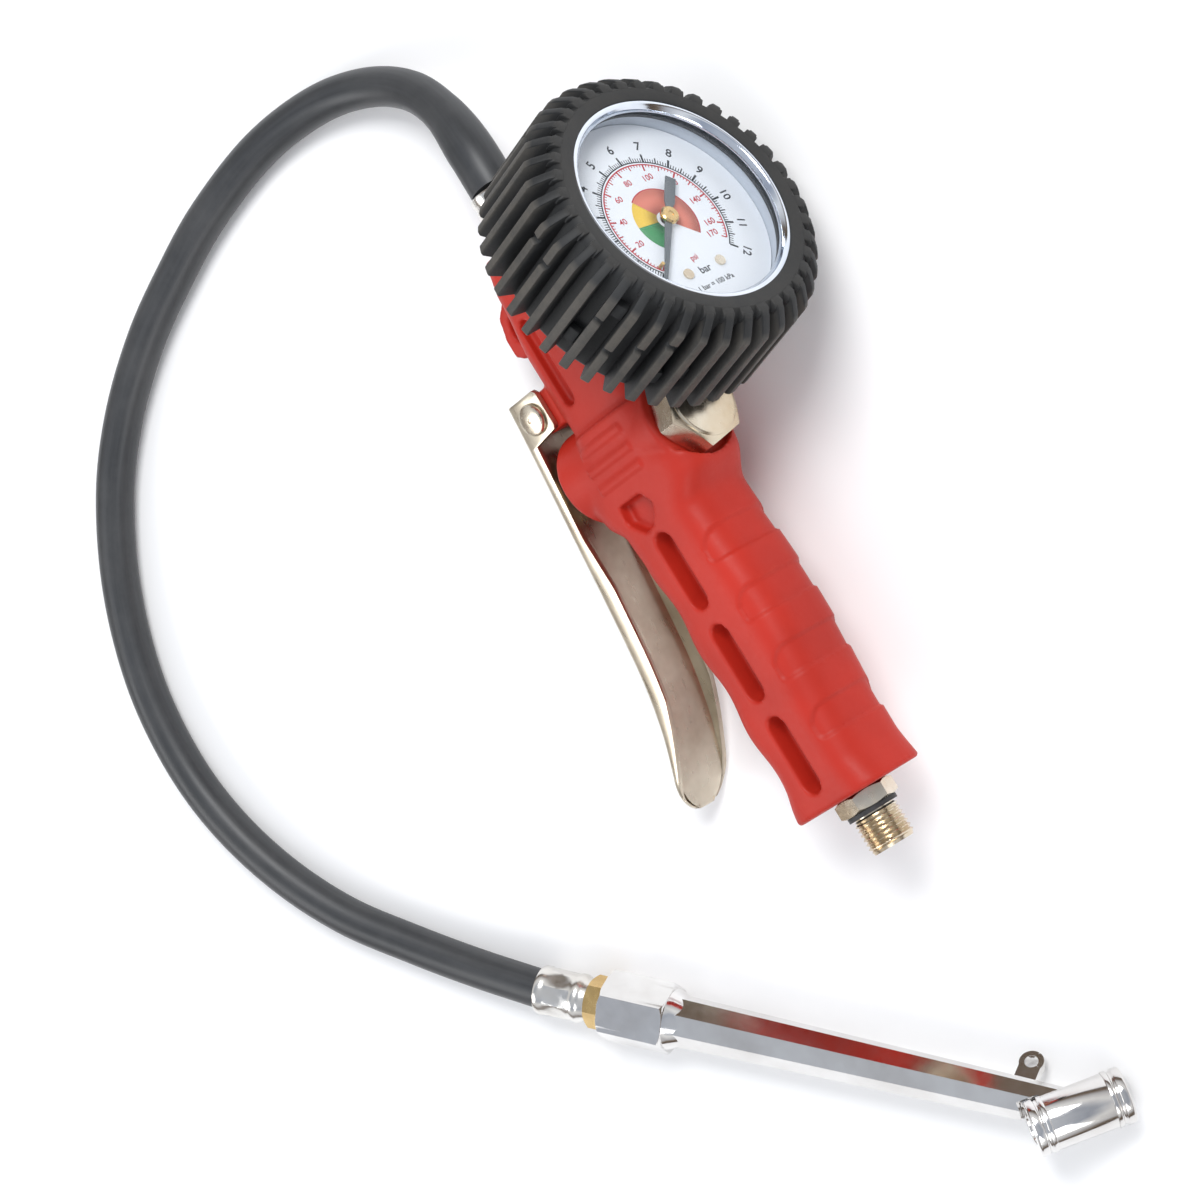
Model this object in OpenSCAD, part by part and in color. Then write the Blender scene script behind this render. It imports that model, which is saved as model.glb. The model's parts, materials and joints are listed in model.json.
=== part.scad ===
// Tyre inflator with a dial gauge, lying on its side on a bench.
// Gun frame: x runs down the grip to the inlet, y points to the palm side, z to the upper flank.
// Gauge frame: z runs out of the dial, x points down the grip.

/* [Grip] */
// Length of the grip from the valve axis to its inlet end
grip_len = 107; // [100:1:112]
// Depth of the grip, palm to lever
grip_deep = 34; // [32:0.5:36]
// Width of the grip across its flanks
grip_wide = 27; // [26:0.5:30]
// Length of the head from the valve axis to the hose outlet
head_len = 62; // [60:1:66]
// Width of the head across its flanks
head_wide = 23; // [22:0.5:26]

/* [Valve] */
// Outer radius of the moulded valve boss
boss_r = 13.5; // [13:0.25:14.5]
// Width across flats of the cap nut on the palm side
cap_af = 22; // [20:0.5:23]
// Width across flats of the gland nut on the lever side
gland_af = 15; // [14:0.25:15.5]
// Radius of the valve stem
stem_r = 2; // [1.8:0.05:2.1]

/* [Lever] */
// Width of the pressed lever over its flanges
lever_wide = 20; // [19.6:0.1:21]
// Thickness of the lever's sheet
lever_sheet = 1.5; // [1.2:0.1:1.6]

/* [Gauge] */
// Outer radius of the boot over its ribs
boot_r = 42; // [41:0.25:42.5]
// Number of ribs round the boot
boot_ribs = 40; // [36:1:42]
// Lean of the gauge towards the hose, in degrees
gauge_lean = 10; // [8:0.5:12]

/* [Hose and connector] */
// Outer radius of the hose
hose_r = 5.5; // [5:0.1:5.8]
// Length of the connector from its hose end to the middle of its head
bar_len = 158; // [150:1:165]
// Radius of the end caps of the twin foot
foot_r = 7.8; // [7.6:0.1:8.2]
// Lean of the twin foot out of the bar's axis, in degrees
foot_lean = 40; // [35:1:45]

/* [Hidden] */
$fn = 48;
eps = 0.01;

// How the gun lies: rolled onto the rim of its boot, with the lever just clear of the bench
gun_at = [-19.5, -8, 29.65];
gun_roll = 22;

// Valve stations along y, and radii
core_r = 9.5;
tube_r = 6;
head_tube_r = 7;
air_r = 2.5;
outlet_r = 1.8;
palm_face = 17.5;
lever_face = -24.5;
chamber_r = 6.5;
seat_y = -4;
gland_y = -18;
gland_bore_r = 5.5;
cap_thick = 8.5;
gland_thick = 3.4;
stem_tip_y = -31.3;

// Lever pivot and outline
pivot = [-21.5, -22.5];
pin_r = 2.45;
ear_x = [-28, -16];
ear_y = [-30.2, -17];
flange_rise = 4.2;
grip_rise = 6.4;
lever_line = [[-28, -30], [7, -34.2], [33, -37.5], [52, -40.5], [66, -44.5], [78, -50], [88, -55.5]];

// Inlet: G1/4 male thread, 13.157 mm over its crests
thread_r = 6.58;
thread_len = 10;
inlet_hex_af = 15;
inlet_hex_len = 5;
inlet_neck_len = 1.5;

// Gauge stations along its own axis: case, movement plates, dial, window and rim
gauge_x = -33.8;
boot_back = 24;
boot_front = 58.5;
case_back = 25.5;
case_r = 31.5;
case_wall = 0.8;
plate_z = [33, 42];
plate_thick = 1;
dial_z = 48;
dial_thick = 0.6;
lens_thick = 2;
lens_z = 54;
case_front = lens_z - 1;
bezel_back = lens_z - 4;
bezel_r = 32;
bezel_front = 57.8;
boot_base_r = 36.5;
lip_r = 30.9;
rib_wide = 3;
rib_chamfer = 5;

// Dial screws, through the dial into the upper movement plate
screw_x = 16;
screw_y = 6.2;
screw_r = 0.9;
screw_head_r = 1.5;

// Hose: centre line from the gun to the connector, and its two ends
hose_start_x = -78;
swell_r = 6.7;
swell_rings = 5;
hose_sides = 12;
hose_step = 3;
hose_rest = 5.6;
hose_route = [[-97.5, -8, 29.65], [-109.5, -9, 27.5], [-123.5, -13, 21], [-135.5, -21, 14],
    [-144.5, -34, 9], [-149.5, -51, 6.5], [-149.5, -73, hose_rest], [-143.5, -97, hose_rest],
    [-135.5, -116, hose_rest], [-125.5, -135, hose_rest], [-111.5, -154, hose_rest],
    [-94.5, -170, hose_rest], [-71.5, -184, hose_rest], [-46.5, -193, hose_rest],
    [-22.5, -196, hose_rest], [-0.5, -194, hose_rest], [21.5, -187, hose_rest],
    [41.5, -176, hose_rest], [58.5, -162, hose_rest], [73.5, -148, 6.4], [88.5, -132, 8.6]];

// Connector: where it lies and its stations along the bar
bar_yaw = 50.5;
bar_pitch = 1.7;
bar_roll = 39;
ferrule_len = 15.5;
nut_end = 21;
hex_end = 40.5;
hex_af = 18;
shoulder_end = 45;
socket_r = 4.1;
foot_chamber_r = 4.6;
foot_core_r = 6.6;
foot_barrel_half = 8.5;
cap_gap = 0.3;
eye_out = 11;
eye_back = 17;

// ---- Placing ----

module on_gun() {
    translate(gun_at)
        rotate([gun_roll, 0, 0])
            children();
}

module on_valve() {
    on_gun()
        rotate([-90, 0, 0])
            children();
}

module on_gauge() {
    on_gun()
        gauge_axis()
            children();
}

module gauge_axis() {
    translate([gauge_x, 0, 0])
        rotate([0, 0, gauge_lean])
            rotate([-90, 0, 0])
                children();
}

module on_bar() {
    translate(hose_route[len(hose_route) - 1])
        rotate([0, 0, bar_yaw])
            rotate([0, -bar_pitch, 0])
                rotate([bar_roll, 0, 0])
                    children();
}

module foot_axis(side) {
    translate([bar_len, 0, 0])
        rotate([0, foot_lean - 90, 0])
            mirror([0, 0, side > 0 ? 0 : 1])
                children();
}

module on_foot(side) {
    on_bar()
        foot_axis(side)
            children();
}

// ---- Shared shapes ----

module along_x(r, x0, x1) {
    translate([x0, 0, 0])
        rotate([0, 90, 0])
            cylinder(r = r, h = x1 - x0);
}

module hexagon(af, h) {
    cylinder(r = af / sqrt(3), h = h, $fn = 6);
}

module chamfered_hexagon(af, h) {
    intersection() {
        hexagon(af, h);
        rotate_extrude()
            polygon([[0, 0], [af / 2 + 0.3, 0], [af / 2 + 2, 1.2], [af / 2 + 2, h - 1.2],
                [af / 2 + 0.3, h], [0, h]]);
    }
}

module ring(r_out, r_in, h) {
    difference() {
        cylinder(r = r_out, h = h);
        translate([0, 0, -1])
            cylinder(r = r_in, h = h + 2);
    }
}

module oblong(length, wide) {
    square([length - wide, wide], center = true);
    for (side = [-1, 1])
        translate([side * (length - wide) / 2, 0])
            circle(d = wide);
}

// Catmull-Rom point between p1 and p2
function blend(p0, p1, p2, p3, t) =
    0.5 * (2 * p1 + (p2 - p0) * t + (2 * p0 - 5 * p1 + 4 * p2 - p3) * t * t
    + (3 * p1 - p0 - 3 * p2 + p3) * t * t * t);

function smooth(line, steps) =
    let (last = len(line) - 1)
    concat([for (i = [0:last - 1]) for (s = [0:steps - 1])
        blend(line[max(i - 1, 0)], line[i], line[i + 1], line[min(i + 2, last)], s / steps)], [line[last]]);

function unit(v) = v / norm(v);

function reversed(line) = [for (i = [len(line) - 1:-1:0]) line[i]];

// Rings of a tube round a centre line, each square to the line
function tube_ring(line, i, r, sides) =
    let (last = len(line) - 1)
    let (along = unit(line[min(i + 1, last)] - line[max(i - 1, 0)]))
    let (out = unit(cross([0, 0, 1], along)))
    let (up = cross(along, out))
    [for (k = [0:sides - 1]) line[i] + r * (out * cos(360 * k / sides) + up * sin(360 * k / sides))];

module tube(line, radii, sides) {
    rings = len(line);
    points = [for (i = [0:rings - 1]) each tube_ring(line, i, radii[i], sides)];
    walls = [for (i = [0:rings - 2]) for (k = [0:sides - 1])
        [i * sides + k, (i + 1) * sides + k, (i + 1) * sides + (k + 1) % sides, i * sides + (k + 1) % sides]];
    first = [for (k = [0:sides - 1]) k];
    final = [for (k = [sides - 1:-1:0]) (rings - 1) * sides + k];
    polyhedron(points = points, faces = concat([first], walls, [final]), convexity = 6);
}

// Compression spring on the z axis, as a wire swept round a helix
module coil_spring(r, wire, h, turns) {
    steps = 14;
    sides = 6;
    count = turns * steps;
    rise = h - 2 * wire;
    function spot(i) = [r * cos(360 * i / steps), r * sin(360 * i / steps), wire + rise * i / count];
    line = [for (i = [0:count]) spot(i)];
    points = [for (i = [0:count]) for (k = [0:sides - 1])
        let (out = [cos(360 * i / steps), sin(360 * i / steps), 0])
        line[i] + wire * (out * cos(360 * k / sides) + [0, 0, 1] * sin(360 * k / sides))];
    walls = [for (i = [0:count - 1]) for (k = [0:sides - 1])
        [i * sides + k, i * sides + (k + 1) % sides, (i + 1) * sides + (k + 1) % sides, (i + 1) * sides + k]];
    first = [for (k = [sides - 1:-1:0]) k];
    final = [for (k = [0:sides - 1]) count * sides + k];
    polyhedron(points = points, faces = concat([first], walls, [final]), convexity = 8);
}

// ---- Grip body ----

function palm_y(x) = grip_deep / 2 - 1 + 1.2 * cos(360 * (x - 56) / 78) + (x > 98 ? (x - 98) * 0.2 : 0);
function front_y(x) = -grip_deep / 2 + 1 - 0.9 * cos(360 * (x - 55) / 25) - (x > 98 ? (x - 98) * 0.22 : 0);

module oval_bar(deep, wide, x0, x1) {
    power = 0.62;
    turn = 10;
    translate([x0, 0, 0])
        rotate([90, 0, 90])
            linear_extrude(x1 - x0)
                polygon([for (a = [0:turn:359])
                    [sign(cos(a)) * pow(abs(cos(a)), power) * deep / 2,
                     sign(sin(a)) * pow(abs(sin(a)), power) * wide / 2]]);
}

module grip_blank() {
    step = 3;
    palm = [for (x = [22:step:grip_len]) [x, palm_y(x)]];
    front = [for (x = [28:step:grip_len]) [x, front_y(x)]];
    intersection() {
        translate([0, 0, -grip_wide / 2])
            linear_extrude(grip_wide)
                polygon(concat([[-10, 17.5], [2, 17.5], [9, 22], [12, 21]], palm,
                    [[grip_len, palm_y(grip_len)], [grip_len, front_y(grip_len)]], reversed(front),
                    [[22, -17], [16, -20], [11, -24], [-10, -15]]));
        oval_bar(46, grip_wide, -10, grip_len);
    }
}

module head_blank() {
    intersection() {
        translate([0, 0, -head_wide / 2])
            linear_extrude(head_wide)
                polygon([[-head_len, -10], [-head_len, 10], [-54, 14], [-12, 16.5], [0, 16.5], [0, -15.5],
                    [-34, -15.5], [-52, -13]]);
        oval_bar(34, head_wide, -head_len, 0);
    }
}

module hanging_lug() {
    lug_thick = 5;
    translate([0, 0, -lug_thick / 2])
        linear_extrude(lug_thick)
            difference() {
                polygon([[-54, -12], [-54, -17], [-50, -22.5], [-44, -24.5], [-39, -24.5], [-37, -22],
                    [-36, -12]]);
                translate([-45, -18])
                    rotate([0, 0, -20])
                        oblong(8, 5);
            }
}

module pivot_boss() {
    boss_half = lever_wide / 2 - lever_sheet - 0.3;
    translate([pivot[0], pivot[1], -boss_half])
        cylinder(r = 5.5, h = 2 * boss_half);
    translate([pivot[0] - 5.5, pivot[1], -boss_half])
        cube([11, 10, 2 * boss_half]);
}

module core_cavity() {
    along_x(tube_r, 0, grip_len + 1);
    along_x(head_tube_r, -head_len - 1, 0);
    rotate([-90, 0, 0])
        translate([0, 0, lever_face - 1])
            cylinder(r = core_r, h = palm_face - lever_face + 2);
    gauge_axis()
        cylinder(r = 8, h = 23);
}

// Leaves room beside the shoulder for the cap nut's corners
module cap_clearance() {
    rotate([-90, 0, 0])
        translate([0, 0, palm_face])
            cylinder(r = cap_af / sqrt(3) + cap_gap, h = cap_thick + 1.5);
}

module flank_pockets() {
    pocket_z = 7;
    slot_xs = [34.5, 62.5, 90.5];
    for (side = [0, 1])
        mirror([0, 0, side])
            translate([0, 0, pocket_z]) {
                for (x = slot_xs)
                    translate([x, -1, 0])
                        linear_extrude(20)
                            oblong(23, 6.5);
                translate([15.5, -3.5, 3])
                    linear_extrude(20)
                        polygon([[-4, -5.5], [1, -6], [5.5, -1.5], [5, 2.5], [0, 6.5], [-4, 4]]);
                translate([-31, -6, 1])
                    linear_extrude(20)
                        oblong(26, 5);
            }
}

module grip_body() {
    color("firebrick")
        on_gun()
            difference() {
                union() {
                    grip_blank();
                    head_blank();
                    rotate([-90, 0, 0])
                        translate([0, 0, lever_face])
                            cylinder(r = boss_r, h = palm_face - lever_face);
                    gauge_axis()
                        cylinder(r = 12, h = 20);
                    hanging_lug();
                    pivot_boss();
                }
                core_cavity();
                cap_clearance();
                flank_pockets();
                translate([pivot[0], pivot[1], -20])
                    cylinder(r = pin_r + 0.05, h = 40);
            }
}

// ---- Valve ----

module valve_core() {
    color("lightgray")
        on_gun()
            difference() {
                union() {
                    along_x(tube_r, 0, grip_len);
                    along_x(head_tube_r, -head_len, 0);
                    rotate([-90, 0, 0])
                        translate([0, 0, lever_face])
                            cylinder(r = core_r, h = palm_face - lever_face);
                    gauge_axis()
                        cylinder(r = 8, h = 20);
                }
                along_x(air_r, 0, grip_len + 1);
                translate([grip_len - 12, 0, 0])
                    rotate([0, 90, 0])
                        cylinder(r = 4.6, h = 13);
                along_x(air_r, -head_len - 1, -24);
                translate([0, -7.5, 0])
                    rotate([0, 0, -17])
                        along_x(outlet_r, -27, 0);
                along_x(4.9, -head_len - 1, -head_len + 11);
                rotate([-90, 0, 0]) {
                    translate([0, 0, seat_y])
                        cylinder(r = chamber_r, h = 30);
                    translate([0, 0, gland_y - eps])
                        cylinder(r = 3.4, h = 30);
                    translate([0, 0, lever_face - 1])
                        cylinder(r = gland_bore_r, h = gland_y - lever_face + 1);
                }
                gauge_axis() {
                    cylinder(r = 1.5, h = 21);
                    translate([0, 0, 10])
                        cylinder(r = 4.9, h = 11);
                }
            }
}

module inlet_fitting() {
    hex_x = grip_len;
    neck_x = hex_x + inlet_hex_len;
    thread_x = neck_x + inlet_neck_len;
    color("silver")
        on_gun()
            difference() {
                union() {
                    along_x(4.6, grip_len - 9, hex_x);
                    translate([hex_x, 0, 0])
                        rotate([0, 90, 0])
                            chamfered_hexagon(inlet_hex_af, inlet_hex_len);
                    along_x(5.6, neck_x, thread_x);
                    along_x(thread_r, thread_x, thread_x + thread_len);
                }
                along_x(air_r, grip_len - 10, thread_x);
                along_x(4, thread_x - 1, thread_x + thread_len + 1);
            }
}

module inlet_seal() {
    color("black")
        on_gun()
            translate([grip_len + inlet_hex_len, 0, 0])
                rotate([0, 90, 0])
                    ring(7.2, 5.6, 1.2);
}

module inlet_filter() {
    color("goldenrod")
        on_gun()
            translate([grip_len + 5.5, 0, 0])
                rotate([0, 90, 0])
                    ring(3.9, 2.2, 4);
}

module cap_nut() {
    skirt = 12;
    color("silver")
        on_valve()
            difference() {
                union() {
                    translate([0, 0, palm_face])
                        rotate([0, 0, 10])
                            chamfered_hexagon(cap_af, cap_thick);
                    translate([0, 0, palm_face - skirt])
                        cylinder(r = chamber_r, h = skirt);
                }
                translate([0, 0, palm_face - skirt - 1])
                    cylinder(r = 4.8, h = skirt + 3);
            }
}

module cap_seal() {
    seal_thick = 1.4;
    color("black")
        on_valve()
            translate([0, 0, palm_face - 12 - seal_thick])
                ring(chamber_r, 4.8, seal_thick);
}

module valve_spring() {
    color("silver")
        on_valve()
            translate([0, 0, 3.2])
                coil_spring(3.4, 0.5, palm_face + 2 - 3.2, 6);
}

module valve_poppet() {
    color("goldenrod")
        on_valve() {
            translate([0, 0, -1.2])
                ring(4.6, stem_r, 2.2);
            translate([0, 0, 1])
                ring(4.6, stem_r, 1.2);
            translate([0, 0, 2.2])
                ring(2.8, stem_r, 1);
        }
}

module poppet_seal() {
    color("black")
        on_valve()
            translate([0, 0, seat_y + 0.05])
                ring(4.8, stem_r, -1.2 - seat_y - 0.05);
}

module valve_stem() {
    color("silver")
        on_valve()
            rotate_extrude()
                polygon([[0, stem_tip_y], [stem_r - 0.3, stem_tip_y], [stem_r, stem_tip_y + 0.3],
                    [stem_r, 4], [stem_r - 0.6, 5], [0, 5]]);
}

module gland_nut() {
    color("silver")
        on_valve()
            difference() {
                union() {
                    translate([0, 0, lever_face - gland_thick])
                        chamfered_hexagon(gland_af, gland_thick);
                    translate([0, 0, lever_face])
                        cylinder(r = gland_bore_r, h = 3.5);
                }
                translate([0, 0, lever_face - gland_thick - 1])
                    cylinder(r = stem_r + 0.08, h = 12);
            }
}

module stem_seal() {
    color("black")
        on_valve()
            translate([0, 0, lever_face + 3.5])
                ring(gland_bore_r, stem_r + 0.05, gland_y - lever_face - 3.5);
}

// ---- Lever ----

function flange_top(p) =
    p[1] + (p[0] < 12 ? flange_rise : p[0] < 60 ? min(grip_rise, flange_rise + (p[0] - 12) * 0.14)
    : max(1.6, grip_rise - (p[0] - 60) * 0.19));

module trigger_lever() {
    outer = smooth(lever_line, 4);
    inner = reversed([for (p = outer) [p[0], p[1] + lever_sheet * 1.05]]);
    flange = reversed([for (p = outer) if (p[0] > ear_x[1]) [p[0], flange_top(p)]]);
    color("silver")
        on_gun()
            difference() {
                union() {
                    translate([0, 0, -lever_wide / 2])
                        linear_extrude(lever_wide)
                            polygon(concat(outer, inner));
                    for (side = [0, 1])
                        mirror([0, 0, side])
                            translate([0, 0, lever_wide / 2 - lever_sheet])
                                linear_extrude(lever_sheet)
                                    polygon(concat(outer, flange, [[ear_x[1], ear_y[0] + 3],
                                        [ear_x[1], ear_y[1] - 1], [ear_x[1] - 1, ear_y[1]],
                                        [ear_x[0] + 1, ear_y[1]], [ear_x[0], ear_y[1] - 1]]));
                }
                translate([pivot[0], pivot[1], -20])
                    cylinder(r = pin_r + 0.1, h = 40);
                lever_tip_cut();
            }
}

// Rounds the free end of the lever in plan
module lever_tip_cut() {
    tip_r = 9;
    end = lever_line[len(lever_line) - 1];
    for (side = [0, 1])
        mirror([0, 0, side])
            translate([end[0] - tip_r + 0.5, end[1] - 10, 0])
                rotate([-90, 0, 0])
                    linear_extrude(30)
                        difference() {
                            translate([0, -tip_r - 5])
                                square([tip_r + 5, tip_r + 5]);
                            circle(r = tip_r);
                            translate([-1, -1])
                                square([tip_r + 10, 1.01]);
                        }
}

module lever_pin() {
    half = lever_wide / 2;
    color("silver")
        on_gun()
            translate([pivot[0], pivot[1], 0]) {
                translate([0, 0, -half - 2.2])
                    cylinder(r = pin_r, h = 2 * half + 2.4);
                translate([0, 0, half + 0.2])
                    rotate_extrude()
                        polygon([[0, 0], [4.4, 0], [4.4, 1], [3.8, 1.6], [0, 1.6]]);
            }
}

module pin_clip() {
    color("silver")
        on_gun()
            translate([pivot[0], pivot[1], -lever_wide / 2 - 1.2])
                ring(4, pin_r, 0.8);
}

// ---- Hose and its ends ----

module hose_adapter() {
    color("silver")
        on_gun()
            difference() {
                union() {
                    along_x(4.9, -head_len, -head_len + 10);
                    translate([-head_len - 7.5, 0, 0])
                        rotate([0, 90, 0])
                            chamfered_hexagon(14, 6);
                    along_x(4.9, -head_len - 1.5, -head_len);
                    along_x(4.4, hose_start_x, -head_len - 7.5);
                }
                along_x(air_r, hose_start_x - 1, -head_len + 11);
            }
}

module adapter_seal() {
    color("black")
        on_gun()
            translate([-head_len - 1.5, 0, 0])
                rotate([0, 90, 0])
                    ring(6.8, 4.9, 1.5);
}

module hose_ferrule_gun() {
    color("silver")
        on_gun()
            translate([hose_start_x, 0, 0])
                rotate([0, 90, 0])
                    ring(7.3, 4.4, -head_len - 7.5 - hose_start_x);
}

module hose() {
    line = smooth(hose_route, hose_step);
    radii = [for (i = [0:len(line) - 1])
        i < swell_rings ? swell_r
        : i < 2 * swell_rings ? swell_r - (swell_r - hose_r) * (i - swell_rings) / swell_rings
        : hose_r];
    color("dimgray")
        tube(line, radii, hose_sides);
}

module hose_ferrule_end() {
    color("silver")
        on_bar()
            rotate([0, 90, 0])
                rotate_extrude()
                    polygon([[2.5, 0], [6.6, 0], [6.9, 0.8], [6.9, 4], [6.4, 5], [6.4, 7], [6.9, 8],
                        [6.9, 10.5], [6.1, 12], [6.1, ferrule_len], [2.5, ferrule_len]]);
}

module hose_nut() {
    color("goldenrod")
        on_bar()
            difference() {
                translate([ferrule_len, 0, 0])
                    rotate([0, 90, 0])
                        chamfered_hexagon(13, nut_end - ferrule_len);
                along_x(2.5, 0, 30);
            }
}

// ---- Twin-foot connector ----

module connector_body() {
    bar_r = [6.9, 5.1];
    core_bar_r = 4;
    neck_x = bar_len - 4;
    passage = [bar_len - 24, -2.6];
    passage_r = 1;
    taper_len = neck_x - hex_end - 1;
    color("silver")
        on_bar()
            difference() {
                union() {
                    translate([nut_end, 0, 0])
                        rotate([0, 90, 0])
                            rotate([0, 0, -9])
                                chamfered_hexagon(hex_af, hex_end - nut_end);
                    rotate([0, 90, 0])
                        rotate_extrude()
                            polygon([[0, hex_end - 4], [8.6, hex_end - 4], [8.6, hex_end],
                                [bar_r[0] - 0.4, shoulder_end], [core_bar_r, neck_x - 1], [0, neck_x - 1]]);
                    translate([hex_end + 1, 0, 0])
                        rotate([0, 90, 0])
                            rotate([0, 0, 22.5])
                                cylinder(r1 = bar_r[0] + 0.4, r2 = bar_r[1] + 0.4, h = taper_len, $fn = 8);
                    foot_axis(1)
                        translate([0, 0, -foot_barrel_half])
                            cylinder(r = foot_r - 0.3, h = 2 * foot_barrel_half);
                    foot_axis(1)
                        translate([0, 0, -11])
                            cylinder(r = foot_core_r, h = 22);
                    hanging_eye();
                }
                for (side = [-1, 1])
                    foot_axis(side)
                        translate([0, 0, 2.5])
                            cylinder(r = foot_chamber_r, h = 20);
                foot_axis(1)
                    translate([0, 0, -5])
                        cylinder(r = passage_r, h = 10);
                rear_cap_relief();
                along_x(air_r, 0, passage[0] + 2);
                translate([passage[0], 0, passage[1]])
                    rotate([0, 90, 0])
                        cylinder(r = passage_r, h = bar_len + 2.5 - passage[0]);
            }
}

// Hollow in the bar that the rear cap's rim sits in
module rear_cap_relief() {
    foot_axis(1)
        translate([0, 0, foot_barrel_half])
            difference() {
                cylinder(r = foot_r + cap_gap, h = 6);
                translate([0, 0, -1])
                    cylinder(r = foot_core_r, h = 3.5);
            }
}

module hanging_eye() {
    eye_thick = 3;
    translate([bar_len - eye_back, 0, -eye_out])
        rotate([90, 0, 0])
            translate([0, 0, -eye_thick / 2])
                difference() {
                    union() {
                        cylinder(r = 3.4, h = eye_thick);
                        translate([-3, 0, 0])
                            cube([6, eye_out - 3, eye_thick]);
                    }
                    translate([0, 0, -1])
                        cylinder(r = 1.9, h = eye_thick + 2);
                }
}

module socket_cap() {
    color("silver")
        difference() {
            translate([0, 0, 8.5])
                rotate_extrude()
                    polygon([[0, 0], [foot_r, 0], [foot_r, 1.2], [foot_r - 0.5, 1.6], [foot_r - 0.5, 2.2],
                        [foot_r, 2.6], [foot_r, 4.5], [foot_r - 0.5, 5], [0, 5]]);
            translate([0, 0, 8])
                cylinder(r = 6.6, h = 3);
            cylinder(r = socket_r, h = 20);
        }
}

module socket_seal() {
    color("black")
        translate([0, 0, 8])
            ring(foot_chamber_r, 2.6, 3);
}

module depressor() {
    color("goldenrod") {
        translate([0, 0, 4.2])
            cylinder(r = 1.3, h = 6.2);
        translate([0, 0, 6.7])
            cylinder(r = 4.2, h = 1.2);
    }
}

module depressor_spring() {
    color("silver")
        translate([0, 0, 2.5])
            coil_spring(2.6, 0.35, 4.2, 3);
}

module socket_cap_rear() {
    on_foot(1)
        socket_cap();
}

module socket_cap_front() {
    on_foot(-1)
        socket_cap();
}

module socket_seal_rear() {
    on_foot(1)
        socket_seal();
}

module socket_seal_front() {
    on_foot(-1)
        socket_seal();
}

module depressor_rear() {
    on_foot(1)
        depressor();
}

module depressor_front() {
    on_foot(-1)
        depressor();
}

module depressor_spring_rear() {
    on_foot(1)
        depressor_spring();
}

module depressor_spring_front() {
    on_foot(-1)
        depressor_spring();
}

// ---- Gauge ----

module gauge_boot() {
    rib_root = boot_base_r - 2.4;
    rib_back = boot_back + 0.5;
    rib_front = boot_front - 6;
    color("dimgray")
        on_gauge() {
            rotate_extrude()
                polygon([[22, boot_back], [boot_base_r - 1, boot_back], [boot_base_r, boot_back + 1],
                    [boot_base_r, boot_front - 3], [boot_base_r - 2, boot_front], [lip_r, boot_front],
                    [lip_r, bezel_front], [bezel_r, bezel_front], [bezel_r, bezel_back],
                    [case_r, bezel_back], [case_r, case_back], [22, case_back]]);
            for (i = [0:boot_ribs - 1])
                rotate([0, 0, 360 * (i + 0.5) / boot_ribs])
                    rotate([90, 0, 0])
                        translate([0, 0, -rib_wide / 2])
                            linear_extrude(rib_wide)
                                polygon([[rib_root, rib_back], [boot_r - 1, rib_back], [boot_r, rib_back + 1],
                                    [boot_r, rib_front], [boot_r - rib_chamfer, boot_front],
                                    [rib_root, boot_front]]);
        }
}

module gauge_case() {
    color("gray")
        on_gauge()
            rotate_extrude()
                polygon([[5, case_back], [case_r, case_back], [case_r, case_front],
                    [case_r - case_wall, case_front], [case_r - case_wall, case_back + case_wall],
                    [5, case_back + case_wall]]);
}

module gauge_stem() {
    color("goldenrod")
        on_gauge()
            difference() {
                union() {
                    translate([0, 0, 11])
                        cylinder(r = 4.9, h = 22);
                    translate([0, 0, 21.2])
                        hexagon(14, case_back - 21.2);
                    translate([-4.9, -20, case_back + case_wall])
                        cube([9.8, 20, 33 - case_back - case_wall]);
                    translate([-4, -23, case_back + case_wall])
                        cube([6.5, 6, 12]);
                }
                translate([0, 0, 5])
                    cylinder(r = 1.2, h = 24);
            }
}

module gauge_seal() {
    color("black")
        on_gauge()
            translate([0, 0, 20])
                ring(7.5, 4.9, 1.2);
}

// Curved pressure tube round the movement, open over a quarter turn
module bourdon_tube() {
    tube_mid = 20;
    color("goldenrod")
        on_gauge()
            rotate([0, 0, -86])
                rotate_extrude(angle = 268)
                    translate([tube_mid, 37.2])
                        polygon([for (a = [0:20:359]) [1.3 * cos(a), 4 * sin(a)]]);
}

module tube_tip() {
    color("goldenrod")
        on_gauge()
            rotate([0, 0, 180])
                translate([18, 0.3, 35])
                    cube([4, 4, 4]);
}

module link_bar() {
    color("silver")
        on_gauge()
            translate([-18, 1.2, 39.2])
                rotate([0, 0, 10])
                    difference() {
                        translate([-0.5, -1, 0])
                            cube([5, 2, 0.8]);
                        translate([0.8, 0, -1])
                            cylinder(r = 0.4, h = 3);
                    }
}

module movement_frame() {
    plate = [22, 11, plate_thick];
    color("goldenrod")
        on_gauge()
            difference() {
                union() {
                    for (z = plate_z)
                        translate([-14, -plate[1] / 2, z])
                            cube(plate);
                    translate([screw_x - 10, -screw_y - 2, plate_z[1]])
                        cube([12, 2 * screw_y + 4, plate_thick]);
                    for (x = [-12.5, 6.5])
                        translate([x, 4, plate_z[0]])
                            cylinder(r = 1.2, h = plate_z[1] + plate_thick - plate_z[0]);
                }
                translate([0, 0, 32])
                    cylinder(r = 0.85, h = 12);
                translate([-10, 0, 32])
                    cylinder(r = 0.85, h = 12);
            }
}

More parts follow.
